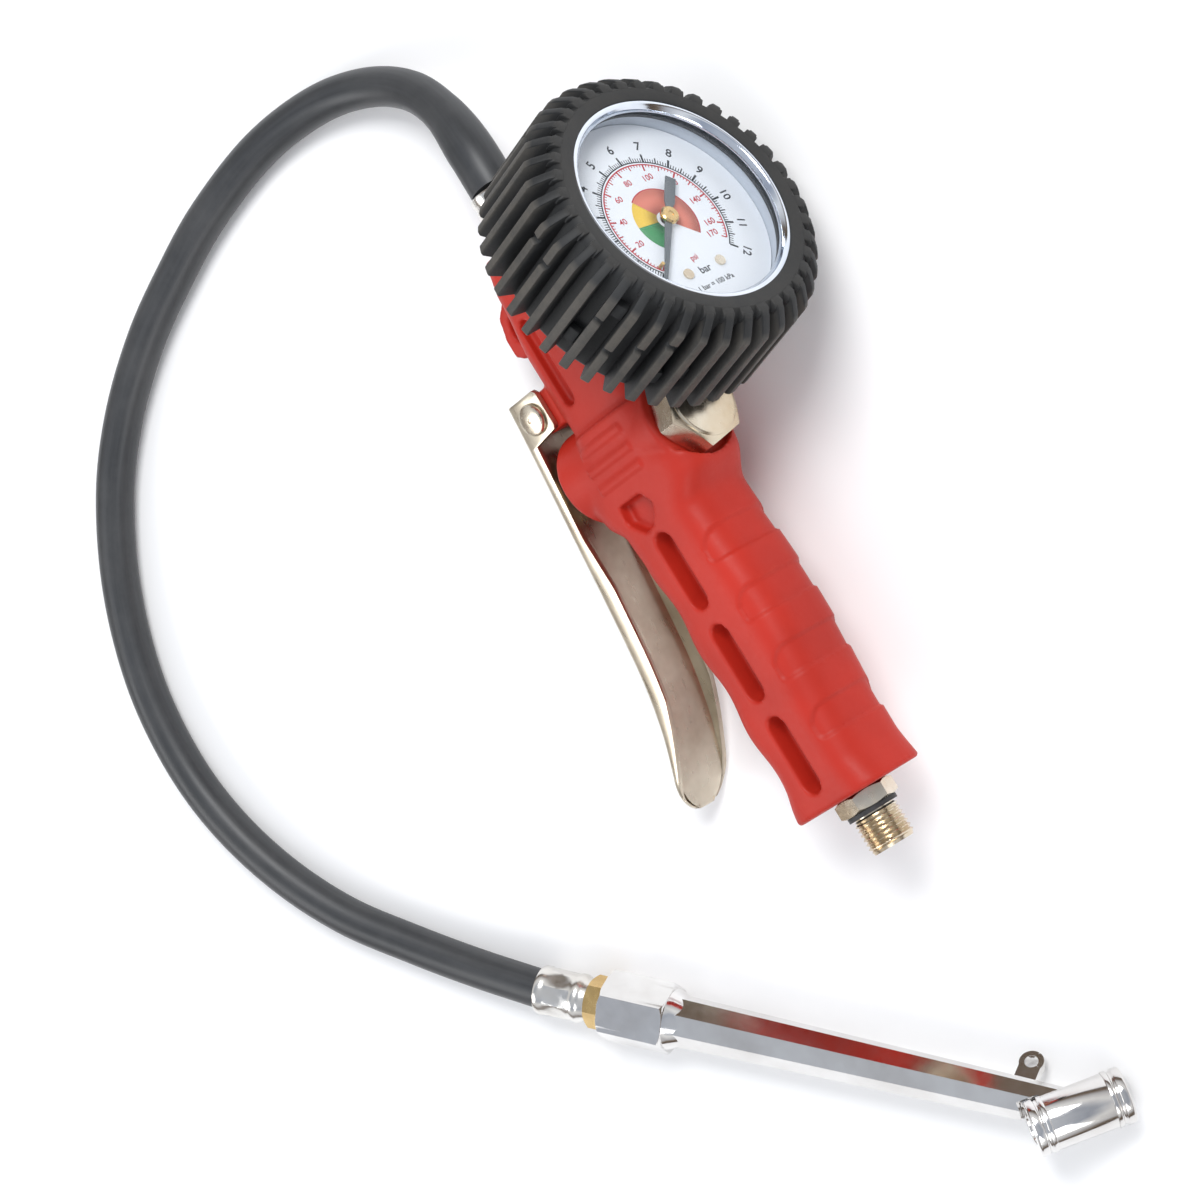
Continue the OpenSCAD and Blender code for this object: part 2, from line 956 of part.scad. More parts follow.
// Toothed sector on its own arbor, clear of the pinion's teeth
module sector_gear() {
    sector_r = 8.2;
    color("goldenrod")
        on_gauge()
            translate([-10, 0, 0]) {
                translate([0, 0, 33.3])
                    cylinder(r = 0.8, h = 9.4);
                translate([0, 0, 36])
                    rotate([0, 0, -33])
                        linear_extrude(0.9)
                            polygon(concat([[-1.5, -1], [0, -1.6]],
                                [for (i = [0:44]) (sector_r - (i % 2) * 0.5) * [cos(i), sin(i)]],
                                [[0, 1.8], [-3.5, 0.8]]));
            }
}

module pinion() {
    color("goldenrod")
        on_gauge() {
            translate([0, 0, 33.3])
                cylinder(r = 0.8, h = 16.5);
            translate([0, 0, 35.6])
                linear_extrude(1.8)
                    polygon([for (i = [0:19]) (1.5 - (i % 2) * 0.4) * [cos(18 * i), sin(18 * i)]]);
        }
}

module hairspring() {
    wire = 0.18;
    turns = 3;
    start_r = 1.6;
    pitch = 0.7;
    function spiral(a, off) = (start_r + pitch * a / 360 + off) * [cos(a), sin(a)];
    color("lightgray")
        on_gauge()
            translate([0, 0, 39.4])
                linear_extrude(0.5)
                    polygon(concat([for (a = [0:15:360 * turns]) spiral(a, 0)],
                        [for (a = [360 * turns:-15:0]) spiral(a, wire)]));
}

module dial_plate() {
    color("white")
        on_gauge()
            translate([0, 0, dial_z])
                ring(case_r - case_wall - 0.2, 1.6, dial_thick);
}

module dial_screws() {
    foot_z = plate_z[1] + plate_thick;
    color("silver")
        on_gauge()
            for (y = [-screw_y, screw_y])
                translate([screw_x, y, 0]) {
                    translate([0, 0, foot_z])
                        cylinder(r = screw_r, h = dial_z - foot_z);
                    translate([0, 0, dial_z + dial_thick])
                        cylinder(r = screw_head_r, h = 0.5);
                }
}

module pointer() {
    zero_turn = -45;
    color("dimgray")
        on_gauge()
            rotate([0, 0, zero_turn])
                translate([0, 0, 50])
                    linear_extrude(0.5)
                        difference() {
                            polygon([[-13, -1.6], [-13, 1.6], [-2, 1.3], [2, 1.1], [24, 0.2], [24, -0.2],
                                [2, -1.1], [-2, -1.3]]);
                            circle(r = 0.8);
                        }
}

module pointer_hub() {
    color("goldenrod")
        on_gauge()
            translate([0, 0, 49.8])
                rotate_extrude()
                    polygon([[0.8, 0], [0.8, 0.2], [2.6, 0.7], [2.6, 1.2], [1.6, 1.8], [0, 1.8], [0, 0]]);
}

module stop_pin() {
    pin_turn = -49;
    color("silver")
        on_gauge()
            rotate([0, 0, pin_turn])
                translate([17, 0, dial_z + dial_thick])
                    cylinder(r = 0.5, h = 2);
}

module lens_gasket() {
    color("black")
        on_gauge()
            translate([0, 0, case_front])
                ring(case_r - 0.1, 29.6, 1);
}

module bezel_ring() {
    rim_r = 28.8;
    color("lightsteelblue")
        on_gauge()
            rotate_extrude()
                polygon([[rim_r, lens_z + lens_thick], [rim_r, bezel_front], [30.4, bezel_front + 0.5],
                    [lip_r - 0.05, bezel_front], [bezel_r, bezel_front], [bezel_r, bezel_back],
                    [case_r, bezel_back], [case_r, lens_z + lens_thick]]);
}

module lens() {
    color("aliceblue", 0.4)
        on_gauge()
            translate([0, 0, lens_z])
                cylinder(r = case_r - 0.1, h = lens_thick);
}

// ---- Nodes ----

grip_body();
valve_core();
inlet_fitting();
inlet_seal();
inlet_filter();
cap_nut();
cap_seal();
valve_spring();
valve_poppet();
poppet_seal();
valve_stem();
gland_nut();
stem_seal();
trigger_lever();
lever_pin();
pin_clip();
hose_adapter();
adapter_seal();
hose_ferrule_gun();
hose();
hose_ferrule_end();
hose_nut();
connector_body();
socket_cap_rear();
socket_cap_front();
socket_seal_rear();
socket_seal_front();
depressor_rear();
depressor_front();
depressor_spring_rear();
depressor_spring_front();
gauge_boot();
gauge_case();
gauge_stem();
gauge_seal();
bourdon_tube();
tube_tip();
link_bar();
movement_frame();
sector_gear();
pinion();
hairspring();
dial_plate();
dial_screws();
pointer();
pointer_hub();
stop_pin();
lens_gasket();
bezel_ring();
lens();
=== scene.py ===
import json
import math
import random

import bmesh
import bpy
from bpy.props import FloatProperty, FloatVectorProperty, IntProperty, PointerProperty
from mathutils import Matrix, Vector


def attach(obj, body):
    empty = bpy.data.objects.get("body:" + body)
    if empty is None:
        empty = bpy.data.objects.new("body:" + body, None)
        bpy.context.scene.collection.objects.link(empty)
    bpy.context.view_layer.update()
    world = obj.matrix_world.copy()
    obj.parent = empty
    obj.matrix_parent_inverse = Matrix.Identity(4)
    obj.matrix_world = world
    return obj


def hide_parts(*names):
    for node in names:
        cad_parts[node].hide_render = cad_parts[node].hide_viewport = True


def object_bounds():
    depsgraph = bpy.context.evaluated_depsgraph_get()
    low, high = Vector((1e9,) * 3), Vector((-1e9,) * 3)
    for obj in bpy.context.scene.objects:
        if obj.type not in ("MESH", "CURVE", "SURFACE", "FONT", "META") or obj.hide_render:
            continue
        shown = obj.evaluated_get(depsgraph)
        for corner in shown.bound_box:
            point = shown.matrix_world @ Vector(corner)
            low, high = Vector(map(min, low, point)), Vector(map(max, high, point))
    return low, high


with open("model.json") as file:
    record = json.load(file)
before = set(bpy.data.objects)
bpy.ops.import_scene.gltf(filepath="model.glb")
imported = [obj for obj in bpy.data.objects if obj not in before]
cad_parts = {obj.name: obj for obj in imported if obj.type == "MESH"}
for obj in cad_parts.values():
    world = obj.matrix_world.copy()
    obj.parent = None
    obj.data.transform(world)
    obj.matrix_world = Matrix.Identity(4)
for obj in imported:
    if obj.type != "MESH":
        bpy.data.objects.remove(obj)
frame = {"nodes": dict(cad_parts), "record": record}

bl_info = {
    "name": "Tyre inflator",
    "version": (1, 0, 0),
    "blender": (4, 5, 0),
    "location": "View3D > Sidebar > Inflator",
    "description": "Finishes the packed tyre inflator with its moulded, plated, rubber and printed surfaces",
    "category": "Object",
}

# Pieces are shaped in the frame of the gun, the gauge or the connector bar, in millimetres.
MM = 0.001
CAD_BOX = [list(corner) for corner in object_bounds()]
RECORD = frame["record"]
MOUNTS = {m["name"]: m for m in RECORD["mounts"]}
JOINTS = {j["name"]: j for j in RECORD["behaviour"]["joints"]}

INLET_AT = 118.5
POINTER_AT = 50.0
FOOT_AT = 158.0
FOOT_LEAN = math.radians(40)
THREAD_FROM = 113.5
THREAD_TO = 123.5
CAP_FACE = 17.5
GRIP_END = 107.0
BOSS_R = 13.5
PSI_PER_BAR = 14.504
PRINT_AT = 48.62
AT_PIN = Matrix.Translation((-21.5, -22.5, 0))
FLANK_OUT = 20

# Palm panels along the grip, and bars across the valve boss
PANEL_STARTS = (31, 48.7, 66.4, 84.1)
BAR_CENTRES = (-5.4, 0.0, 5.4)
MARK_DEPTH = 0.55

# Voxel sizes for the grip's blank, the hollows taken out of it and the finished skin
BLANK_VOXEL = 0.6
HOLLOW_VOXEL = 0.5
SKIN_VOXEL = 0.62

# Camera, in metres: its right and up directions, what it looks at, how far off and how wide it sees
CAMERA_RIGHT = (0.518, 0.7520, -0.4077)
CAMERA_UP = (-0.851, 0.4961, -0.1717)
CAMERA_TARGET = (0.0096, -0.0381, 0.0419)
CAMERA_REACH = 1.1
CAMERA_WIDTH = 0.3144
SENSOR = 36

# Lamps: name, place from the middle of the part in metres, and power; all have the same size
LAMP_SIZE = 0.5
LAMPS = (("key", (-0.5, 0.55, 1.0), 11.0), ("fill", (0.9, 0.1, 0.7), 3.0), ("rim", (0.0, -0.9, 0.6), 3.5))

# Filled in as the pieces are made
MATERIALS = {}


def frame_matrix(origin, x_axis, y_axis, z_axis):
    turn = Matrix((x_axis, y_axis, z_axis)).transposed().to_4x4()
    return Matrix.Translation(origin) @ turn @ Matrix.Scale(MM, 4)


def gun_frame():
    x = Vector(MOUNTS["inlet_thread"]["axis"]).normalized()
    y = Vector(JOINTS["stem_slide"]["axis"]).normalized()
    z = Vector(JOINTS["lever_pivot"]["axis"]).normalized()
    return frame_matrix(Vector(MOUNTS["inlet_thread"]["pos_m"]) - x * INLET_AT * MM, x, y, z)


def gauge_frame():
    z = -Vector(JOINTS["pointer_turn"]["axis"]).normalized()
    y = -Vector(JOINTS["lever_pivot"]["axis"]).normalized()
    return frame_matrix(Vector(JOINTS["pointer_turn"]["pos_m"]) - z * POINTER_AT * MM, y.cross(z), y, z)


def bar_frame():
    out = Vector(MOUNTS["rear_socket"]["axis"]).normalized()
    y = Vector(MOUNTS["hanging_eye"]["axis"]).normalized()
    side = y.cross(out)
    x = math.cos(FOOT_LEAN) * -out + math.sin(FOOT_LEAN) * side
    z = math.sin(FOOT_LEAN) * out + math.cos(FOOT_LEAN) * side
    middle = (Vector(MOUNTS["rear_socket"]["pos_m"]) + Vector(MOUNTS["front_socket"]["pos_m"])) / 2
    return frame_matrix(middle - x * FOOT_AT * MM, x, y, z)


GUN = gun_frame()
GAUGE = gauge_frame()
BAR = bar_frame()
TO_X = Matrix.Rotation(math.radians(90), 4, "Y")
TO_Y = Matrix.Rotation(math.radians(-90), 4, "X")

# The hose's centre line, from the gun to the connector, in metres
HOSE_ROUTE = [(-0.0975, -0.008, 0.02965), (-0.1095, -0.009, 0.0275), (-0.1235, -0.013, 0.021),
              (-0.1355, -0.021, 0.014), (-0.1445, -0.034, 0.009), (-0.1495, -0.051, 0.0065),
              (-0.1495, -0.073, 0.0056), (-0.1435, -0.097, 0.0056), (-0.1355, -0.116, 0.0056),
              (-0.1255, -0.135, 0.0056), (-0.1115, -0.154, 0.0056), (-0.0945, -0.17, 0.0056),
              (-0.0715, -0.184, 0.0056), (-0.0465, -0.193, 0.0056), (-0.0225, -0.196, 0.0056),
              (-0.0005, -0.194, 0.0056), (0.0215, -0.187, 0.0056), (0.0415, -0.176, 0.0056),
              (0.0585, -0.162, 0.0056), (0.0735, -0.148, 0.0064), (0.0885, -0.132, 0.0086)]


class InflatorSizes(bpy.types.PropertyGroup):
    """Sizes of the finished pieces."""
    hose_diameter: FloatProperty(name="Hose diameter", description="Outside diameter of the hose",
                                 default=0.011, min=0.008, max=0.014, unit="LENGTH")
    boot_ribs: IntProperty(name="Boot ribs", description="Ribs round the rubber boot",
                           default=40, min=30, max=48)
    bar_max: IntProperty(name="Scale top", description="Highest value on the outer scale, in bar",
                         default=12, min=6, max=16)
    psi_max: IntProperty(name="Inner scale top", description="Highest value on the inner scale",
                         default=170, min=100, max=220)


class InflatorColours(bpy.types.PropertyGroup):
    """Colours of the finished pieces."""
    grip_red: FloatVectorProperty(name="Grip", description="Colour of the moulded grip", subtype="COLOR",
                                  size=3, default=(0.46, 0.022, 0.011), min=0, max=1)
    rubber: FloatVectorProperty(name="Rubber", description="Colour of the boot's rubber", subtype="COLOR",
                                size=3, default=(0.017, 0.018, 0.019), min=0, max=1)
    nickel: FloatVectorProperty(name="Nickel", description="Colour of the nickel plate", subtype="COLOR",
                                size=3, default=(0.74, 0.68, 0.57), min=0, max=1)
    floor: FloatVectorProperty(name="Floor", description="Colour of the floor", subtype="COLOR",
                               size=3, default=(0.93, 0.93, 0.93), min=0, max=1)


# ---- Materials ----

class Paint:
    """A Principled material and the nodes that vary it over the surface."""

    def __init__(self, name, colour, roughness, metallic=0.0, **sockets):
        self.material = bpy.data.materials.new(name)
        self.material.use_nodes = True
        self.tree = self.material.node_tree
        self.shader = self.tree.nodes["Principled BSDF"]
        self.shader.inputs["Base Color"].default_value = (*colour, 1)
        self.shader.inputs["Roughness"].default_value = roughness
        self.shader.inputs["Metallic"].default_value = metallic
        for socket, value in sockets.items():
            self.shader.inputs[socket.replace("_", " ")].default_value = value
        self.coords = self.tree.nodes.new("ShaderNodeTexCoord")
        self.height = None

    def node(self, kind, **settings):
        made = self.tree.nodes.new(kind)
        for key, value in settings.items():
            setattr(made, key, value)
        return made

    def link(self, a, b):
        self.tree.links.new(a, b)

    def space(self, stretch):
        mapping = self.node("ShaderNodeMapping")
        mapping.inputs["Scale"].default_value = stretch
        self.link(self.coords.outputs["Object"], mapping.inputs["Vector"])
        return mapping.outputs["Vector"]

    def noise(self, scale, detail, vector=None, rough=0.55):
        noise = self.node("ShaderNodeTexNoise")
        noise.inputs["Scale"].default_value = scale
        noise.inputs["Detail"].default_value = detail
        noise.inputs["Roughness"].default_value = rough
        self.link(vector if vector is not None else self.coords.outputs["Object"], noise.inputs["Vector"])
        return noise.outputs["Fac"]

    def ramp(self, fac, stops):
        ramp = self.node("ShaderNodeValToRGB")
        band = ramp.color_ramp
        for i, (place, colour) in enumerate(stops):
            stop = band.elements[i] if i < 2 else band.elements.new(place)
            stop.position = place
            stop.color = (*colour, 1) if len(colour) == 3 else colour
        self.link(fac, ramp.inputs["Fac"])
        return ramp.outputs["Color"]

    def mix(self, fac, a, b):
        mix = self.node("ShaderNodeMix", data_type="RGBA", blend_type="MIX")
        for socket, value in ((mix.inputs[0], fac), (mix.inputs[6], a), (mix.inputs[7], b)):
            if isinstance(value, (int, float)):
                socket.default_value = value
            elif isinstance(value, tuple):
                socket.default_value = (*value, 1)
            else:
                self.link(value, socket)
        return mix.outputs[2]

    def colour(self, socket):
        self.link(socket, self.shader.inputs["Base Color"])

    def roughness(self, fac, low, high):
        span = self.node("ShaderNodeMapRange")
        span.inputs["To Min"].default_value = low
        span.inputs["To Max"].default_value = high
        self.link(fac, span.inputs["Value"])
        self.link(span.outputs["Result"], self.shader.inputs["Roughness"])

    def bump(self, height, depth, strength):
        bump = self.node("ShaderNodeBump")
        bump.inputs["Distance"].default_value = depth
        bump.inputs["Strength"].default_value = strength
        self.link(height, bump.inputs["Height"])
        if self.height is not None:
            self.link(self.height, bump.inputs["Normal"])
        self.height = bump.outputs["Normal"]
        self.link(self.height, self.shader.inputs["Normal"])


def shade(colour, factor):
    return tuple(min(1.0, c * factor) for c in colour)


def red_plastic(colours):
    base = tuple(colours.grip_red)
    paint = Paint("moulded_red_plastic", base, 0.5, Specular_IOR_Level=0.3)
    broad = paint.noise(28, 4)
    fine = paint.noise(900, 4)
    speck = paint.noise(240, 5, rough=0.75)
    tone = paint.ramp(broad, [(0.3, shade(base, 0.86)), (0.7, shade(base, 1.1))])
    specks = paint.ramp(speck, [(0.62, (0, 0, 0)), (0.78, (0.35, 0.35, 0.35))])
    tone = paint.mix(specks, tone, (0.50, 0.05, 0.02))
    paint.colour(tone)
    paint.roughness(fine, 0.4, 0.6)
    paint.bump(fine, 0.00006, 0.5)
    paint.bump(paint.noise(2400, 2), 0.00003, 0.4)
    return paint.material


def boot_rubber(colours):
    base = tuple(colours.rubber)
    paint = Paint("boot_rubber", base, 0.62, Specular_IOR_Level=0.4)
    broad = paint.noise(45, 5, rough=0.7)
    fine = paint.noise(1300, 3)
    dust = paint.ramp(broad, [(0.35, shade(base, 0.8)), (0.7, shade(base, 1.3))])
    # Rib tops, and a quarter as strongly the front rim, get a lighter grey-brown: partly the rubber's own
    # tone there, partly painted highlight
    rib_top_colour_and_highlight = paint.ramp(paint.noise(120, 5, rough=0.8),
                      [(0.3, (0.042, 0.041, 0.039)), (0.75, (0.085, 0.076, 0.064))])
    rib_top_tone_and_highlight = paint.node("ShaderNodeAttribute", attribute_name="rib_top_tone_and_highlight")
    paint.colour(paint.mix(rib_top_tone_and_highlight.outputs["Fac"], dust, rib_top_colour_and_highlight))
    paint.roughness(broad, 0.5, 0.75)
    paint.bump(fine, 0.00005, 0.6)
    paint.bump(paint.noise(160, 3), 0.0001, 0.35)
    return paint.material


def hose_rubber():
    base = (0.028, 0.030, 0.033)
    paint = Paint("hose_rubber", base, 0.42, Specular_IOR_Level=0.5)
    straight = paint.node("ShaderNodeAttribute", attribute_name="along")
    stretch = paint.node("ShaderNodeMapping")
    stretch.inputs["Scale"].default_value = (0.04, 1, 1)
    paint.link(straight.outputs["Vector"], stretch.inputs["Vector"])
    streak = paint.noise(700, 4, stretch.outputs["Vector"])
    cloud = paint.noise(60, 4, rough=0.7)
    paint.colour(paint.mix(paint.ramp(cloud, [(0.4, (0, 0, 0)), (0.75, (0.6, 0.6, 0.6))]),
                           paint.ramp(streak, [(0.35, shade(base, 0.85)), (0.7, shade(base, 1.3))]),
                           (0.055, 0.056, 0.058)))
    paint.roughness(cloud, 0.34, 0.52)
    paint.bump(streak, 0.00004, 0.5)
    paint.bump(paint.noise(1100, 2), 0.00003, 0.4)
    return paint.material


def plated(name, base, low, high, tarnish, stretch=(1, 1, 1), scratch=0.35):
    paint = Paint(name, base, low, 1.0)
    broad = paint.noise(38, 4, rough=0.65)
    grain = paint.noise(420, 3, paint.space(stretch))
    pits = paint.noise(700, 4, rough=0.8)
    tone = paint.ramp(broad, [(0.32, tarnish), (0.62, base)])
    tone = paint.mix(paint.ramp(pits, [(0.68, (0, 0, 0)), (0.8, (0.5, 0.5, 0.5))]), tone, shade(base, 0.45))
    paint.colour(tone)
    paint.roughness(grain, low, high)
    paint.bump(grain, 0.00002, scratch)
    paint.bump(paint.noise(90, 2), 0.00012, 0.18)
    return paint.material


def plain_rubber():
    paint = Paint("seal_rubber", (0.02, 0.02, 0.021), 0.55)
    fine = paint.noise(900, 3)
    paint.colour(paint.ramp(fine, [(0.3, (0.014, 0.014, 0.015)), (0.7, (0.034, 0.034, 0.035))]))
    paint.roughness(fine, 0.45, 0.65)
    paint.bump(fine, 0.00003, 0.4)
    return paint.material


def enamel(name, base, low, high, speckle=0.93):
    paint = Paint(name, base, low)
    fine = paint.noise(1500, 4, rough=0.7)
    paint.colour(paint.ramp(fine, [(0.3, shade(base, speckle)), (0.7, base)]))
    paint.roughness(paint.noise(200, 3), low, high)
    paint.bump(fine, 0.00001, 0.3)
    return paint.material


def clear_lens():
    paint = Paint("clear_lens", (0.4, 0.45, 0.5), 0.05, Alpha=0.05, Specular_IOR_Level=0.4)
    smear = paint.noise(60, 3)
    paint.colour(paint.ramp(smear, [(0.3, (0.36, 0.42, 0.5)), (0.7, (0.45, 0.5, 0.55))]))
    paint.roughness(smear, 0.03, 0.1)
    return paint.material


def make_materials(colours):
    nickel = tuple(colours.nickel)
    MATERIALS.update(
        grip=red_plastic(colours),
        boot=boot_rubber(colours),
        hose=hose_rubber(),
        nickel=plated("nickel_plate", nickel, 0.16, 0.34, (0.58, 0.46, 0.31)),
        chrome=plated("chrome_plate", (0.80, 0.79, 0.78), 0.07, 0.18, (0.66, 0.64, 0.62), scratch=0.2),
        lever=plated("plated_lever_steel", (0.66, 0.60, 0.49), 0.2, 0.4, (0.44, 0.37, 0.28),
                     (0.15, 1.2, 1.2)),
        spring=plated("drawn_steel", (0.62, 0.62, 0.63), 0.22, 0.38, (0.5, 0.48, 0.46)),
        ferrule=plated("bright_ferrule", (0.82, 0.81, 0.79), 0.14, 0.3, (0.66, 0.63, 0.58)),
        brass=plated("turned_brass", (0.80, 0.58, 0.26), 0.18, 0.34, (0.55, 0.36, 0.14)),
        bezel=plated("bright_bezel", (0.74, 0.78, 0.84), 0.06, 0.16, (0.6, 0.65, 0.74), scratch=0.15),
        seal=plain_rubber(),
        case=enamel("case_paint", (0.50, 0.55, 0.62), 0.35, 0.5),
        dial=enamel("dial_enamel", (0.86, 0.90, 0.95), 0.4, 0.55, 0.95),
        pointer=enamel("pointer_paint", (0.13, 0.145, 0.155), 0.35, 0.5),
        ink=enamel("black_print", (0.015, 0.017, 0.02), 0.5, 0.6),
        red_ink=enamel("red_print", (0.55, 0.02, 0.03), 0.5, 0.6),
        sector_red=enamel("sector_red", (0.74, 0.22, 0.15), 0.5, 0.6),
        sector_yellow=enamel("sector_yellow", (0.86, 0.58, 0.06), 0.5, 0.6),
        sector_green=enamel("sector_green", (0.05, 0.30, 0.10), 0.5, 0.6),
        lens=clear_lens(),
    )


# ---- Mesh tools ----

def finish_mesh(name, bm, place, material, body, node, angle=35, recalc=True):
    """Turns a bmesh into a finished piece that rides on a body and may stand for a CAD node."""
    if recalc:
        bmesh.ops.recalc_face_normals(bm, faces=bm.faces)
    bmesh.ops.transform(bm, matrix=place, verts=bm.verts)
    mesh = bpy.data.meshes.new(name)
    bm.to_mesh(mesh)
    bm.free()
    piece = bpy.data.objects.new(name, mesh)
    bpy.context.scene.collection.objects.link(piece)
    return dress(piece, material, body, node, angle)


def dress(piece, material, body, node, angle):
    piece.data.materials.append(MATERIALS[material])
    piece.data.shade_smooth()
    piece.data.set_sharp_from_angle(angle=math.radians(angle))
    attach(piece, body)
    if node is not None:
        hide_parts(*([node] if isinstance(node, str) else node))
    return piece


def apply_modifiers(piece):
    """Leaves the piece as the plain mesh that its modifiers make."""
    depsgraph = bpy.context.evaluated_depsgraph_get()
    done = bpy.data.meshes.new_from_object(piece.evaluated_get(depsgraph))
    old = piece.data
    piece.modifiers.clear()
    piece.data = done
    bpy.data.meshes.remove(old)


def lathe(bm, profile, steps, closed):
    """Spins a line of (radius, height) points round the z axis; a closed line makes a ring."""
    verts = [bm.verts.new((r, 0, z)) for r, z in profile]
    edges = [bm.edges.new(pair) for pair in zip(verts, verts[1:])]
    if closed:
        edges.append(bm.edges.new((verts[-1], verts[0])))
    bmesh.ops.spin(bm, geom=verts + edges, cent=(0, 0, 0), axis=(0, 0, 1), dvec=(0, 0, 0),
                   angle=2 * math.pi, steps=steps, use_merge=True, use_duplicate=False)
    bmesh.ops.remove_doubles(bm, verts=bm.verts, dist=1e-4)


def loft(bm, rings, wrap=False):
    """Runs a closed skin through rings of points, capped at both ends or joined end to end."""
    first = [bm.verts.new(p) for p in rings[0]]
    edges = [bm.edges.new((a, b)) for a, b in zip(first, first[1:] + first[:1])]
    start = list(first)
    start_edges = list(edges)
    for ring in rings[1:]:
        made = bmesh.ops.extrude_edge_only(bm, edges=edges)["geom"]
        fresh = {g for g in made if isinstance(g, bmesh.types.BMVert)}
        order = [next(e.other_vert(v) for e in v.link_edges if e.other_vert(v) in fresh) for v in first]
        edges = [bm.edges.get(pair) for pair in zip(order, order[1:] + order[:1])]
        for vert, point in zip(order, ring):
            vert.co = point
        first = order
    if wrap:
        bmesh.ops.bridge_loops(bm, edges=start_edges + edges)
    else:
        bm.faces.new(reversed(start))
        bm.faces.new(first)


def add_bmesh(target, source, place=Matrix.Identity(4)):
    mesh = bpy.data.meshes.new("part")
    bmesh.ops.transform(source, matrix=place, verts=source.verts)
    bmesh.ops.recalc_face_normals(source, faces=source.faces)
    source.to_mesh(mesh)
    source.free()
    target.from_mesh(mesh)
    bpy.data.meshes.remove(mesh)


def circle(radius, height, sides=72, turn=0.0):
    angles = [turn + 2 * math.pi * i / sides for i in range(sides)]
    return [(radius * math.cos(a), radius * math.sin(a), height) for a in angles]


def hexagon(bm, af, z0, z1, turn, place, bore=None):
    """A hexagon blank whose corners are turned down at both ends; bore is the radius of a hole through it."""
    sides = 72
    face_r = af / 2 * 0.95
    reach = []
    for i in range(sides):
        off = (i * 360 / sides + 30) % 60 - 30
        reach.append(af / 2 / math.cos(math.radians(off)))

    def ring(height, sign, inner):
        points = []
        for i, r in enumerate(reach):
            a = turn + 2 * math.pi * i / sides
            level = height + sign * (r - face_r) * 0.5
            points.append((r * math.cos(a), r * math.sin(a), level) if not inner
                          else (face_r * math.cos(a), face_r * math.sin(a), height))
        return points

    rings = [ring(z0, 1, True), ring(z0, 1, False), ring(z1, -1, False), ring(z1, -1, True)]
    if bore:
        rings += [circle(bore + 0.3, z1, sides, turn), circle(bore, z1 - 0.4, sides, turn),
                  circle(bore, z0, sides, turn)]
    own = bmesh.new()
    loft(own, rings, wrap=bore is not None)
    add_bmesh(bm, own, place)


def turned(bm, profile, place=Matrix.Identity(4), steps=64, closed=False):
    own = bmesh.new()
    lathe(own, profile, steps, closed)
    add_bmesh(bm, own, place)


def prism(bm, outline, low, high, place=Matrix.Identity(4), bevel=0.0):
    """Extrudes a plane outline along z and rounds its edges."""
    own = bmesh.new()
    face = own.faces.new([own.verts.new((x, y, low)) for x, y in outline])
    up = bmesh.ops.extrude_face_region(own, geom=[face])["geom"]
    lifted = [g for g in up if isinstance(g, bmesh.types.BMVert)]
    bmesh.ops.translate(own, vec=(0, 0, high - low), verts=lifted)
    bmesh.ops.recalc_face_normals(own, faces=own.faces)
    if bevel:
        sharp = [e for e in own.edges if e.calc_face_angle(0) > 0.5]
        bmesh.ops.bevel(own, geom=sharp, offset=bevel, segments=2, profile=0.5, affect="EDGES",
                        material=-1, clamp_overlap=True)
    add_bmesh(bm, own, place)


def oblong(length, wide, cx, cy, turn=0.0):
    """Outline of a slot with round ends."""
    steps = 10
    half = (length - wide) / 2
    points = []
    for side in (1, -1):
        for i in range(steps + 1):
            a = -math.pi / 2 + math.pi * i / steps
            points.append((side * (half + wide / 2 * math.cos(a)), side * wide / 2 * math.sin(a)))
    c, s = math.cos(turn), math.sin(turn)
    return [(cx + x * c - y * s, cy + x * s + y * c) for x, y in points]


def smooth_line(points, steps):
    """A curve through points, as the CAD draws it."""
    line = []
    pts = [Vector(p) for p in points]
    ends = [2 * pts[0] - pts[1]] + pts + [2 * pts[-1] - pts[-2]]
    for i in range(1, len(ends) - 2):
        a, b, c, d = ends[i - 1:i + 3]
        for k in range(steps):
            t = k / steps
            line.append(0.5 * (2 * b + (c - a) * t + (2 * a - 5 * b + 4 * c - d) * t * t
                               + (3 * b - a - 3 * c + d) * t ** 3))
    line.append(pts[-1])
    return line


def join_voxels(piece, voxel):
    """Joins overlapping closed meshes into one skin."""
    remesh = piece.modifiers.new("join", "REMESH")
    remesh.mode = "VOXEL"
    remesh.voxel_size = voxel * MM
    apply_modifiers(piece)


def cut_away(piece, cutter):
    """Takes one closed mesh out of another and leaves a plain mesh."""
    boolean = piece.modifiers.new("cut", "BOOLEAN")
    boolean.operation = "DIFFERENCE"
    boolean.solver = "EXACT"
    boolean.object = cutter
    apply_modifiers(piece)
    old = cutter.data
    bpy.data.objects.remove(cutter)
    bpy.data.meshes.remove(old)


def loose(name, bm, place):
    bmesh.ops.recalc_face_normals(bm, faces=bm.faces)
    bmesh.ops.transform(bm, matrix=place, verts=bm.verts)
    mesh = bpy.data.meshes.new(name)
    bm.to_mesh(mesh)
    bm.free()
    made = bpy.data.objects.new(name, mesh)
    bpy.context.scene.collection.objects.link(made)
    return made


def soften(piece, factor, rounds):
    soften = piece.modifiers.new("soften", "SMOOTH")
    soften.factor = factor
    soften.iterations = rounds


# ---- Operators ----

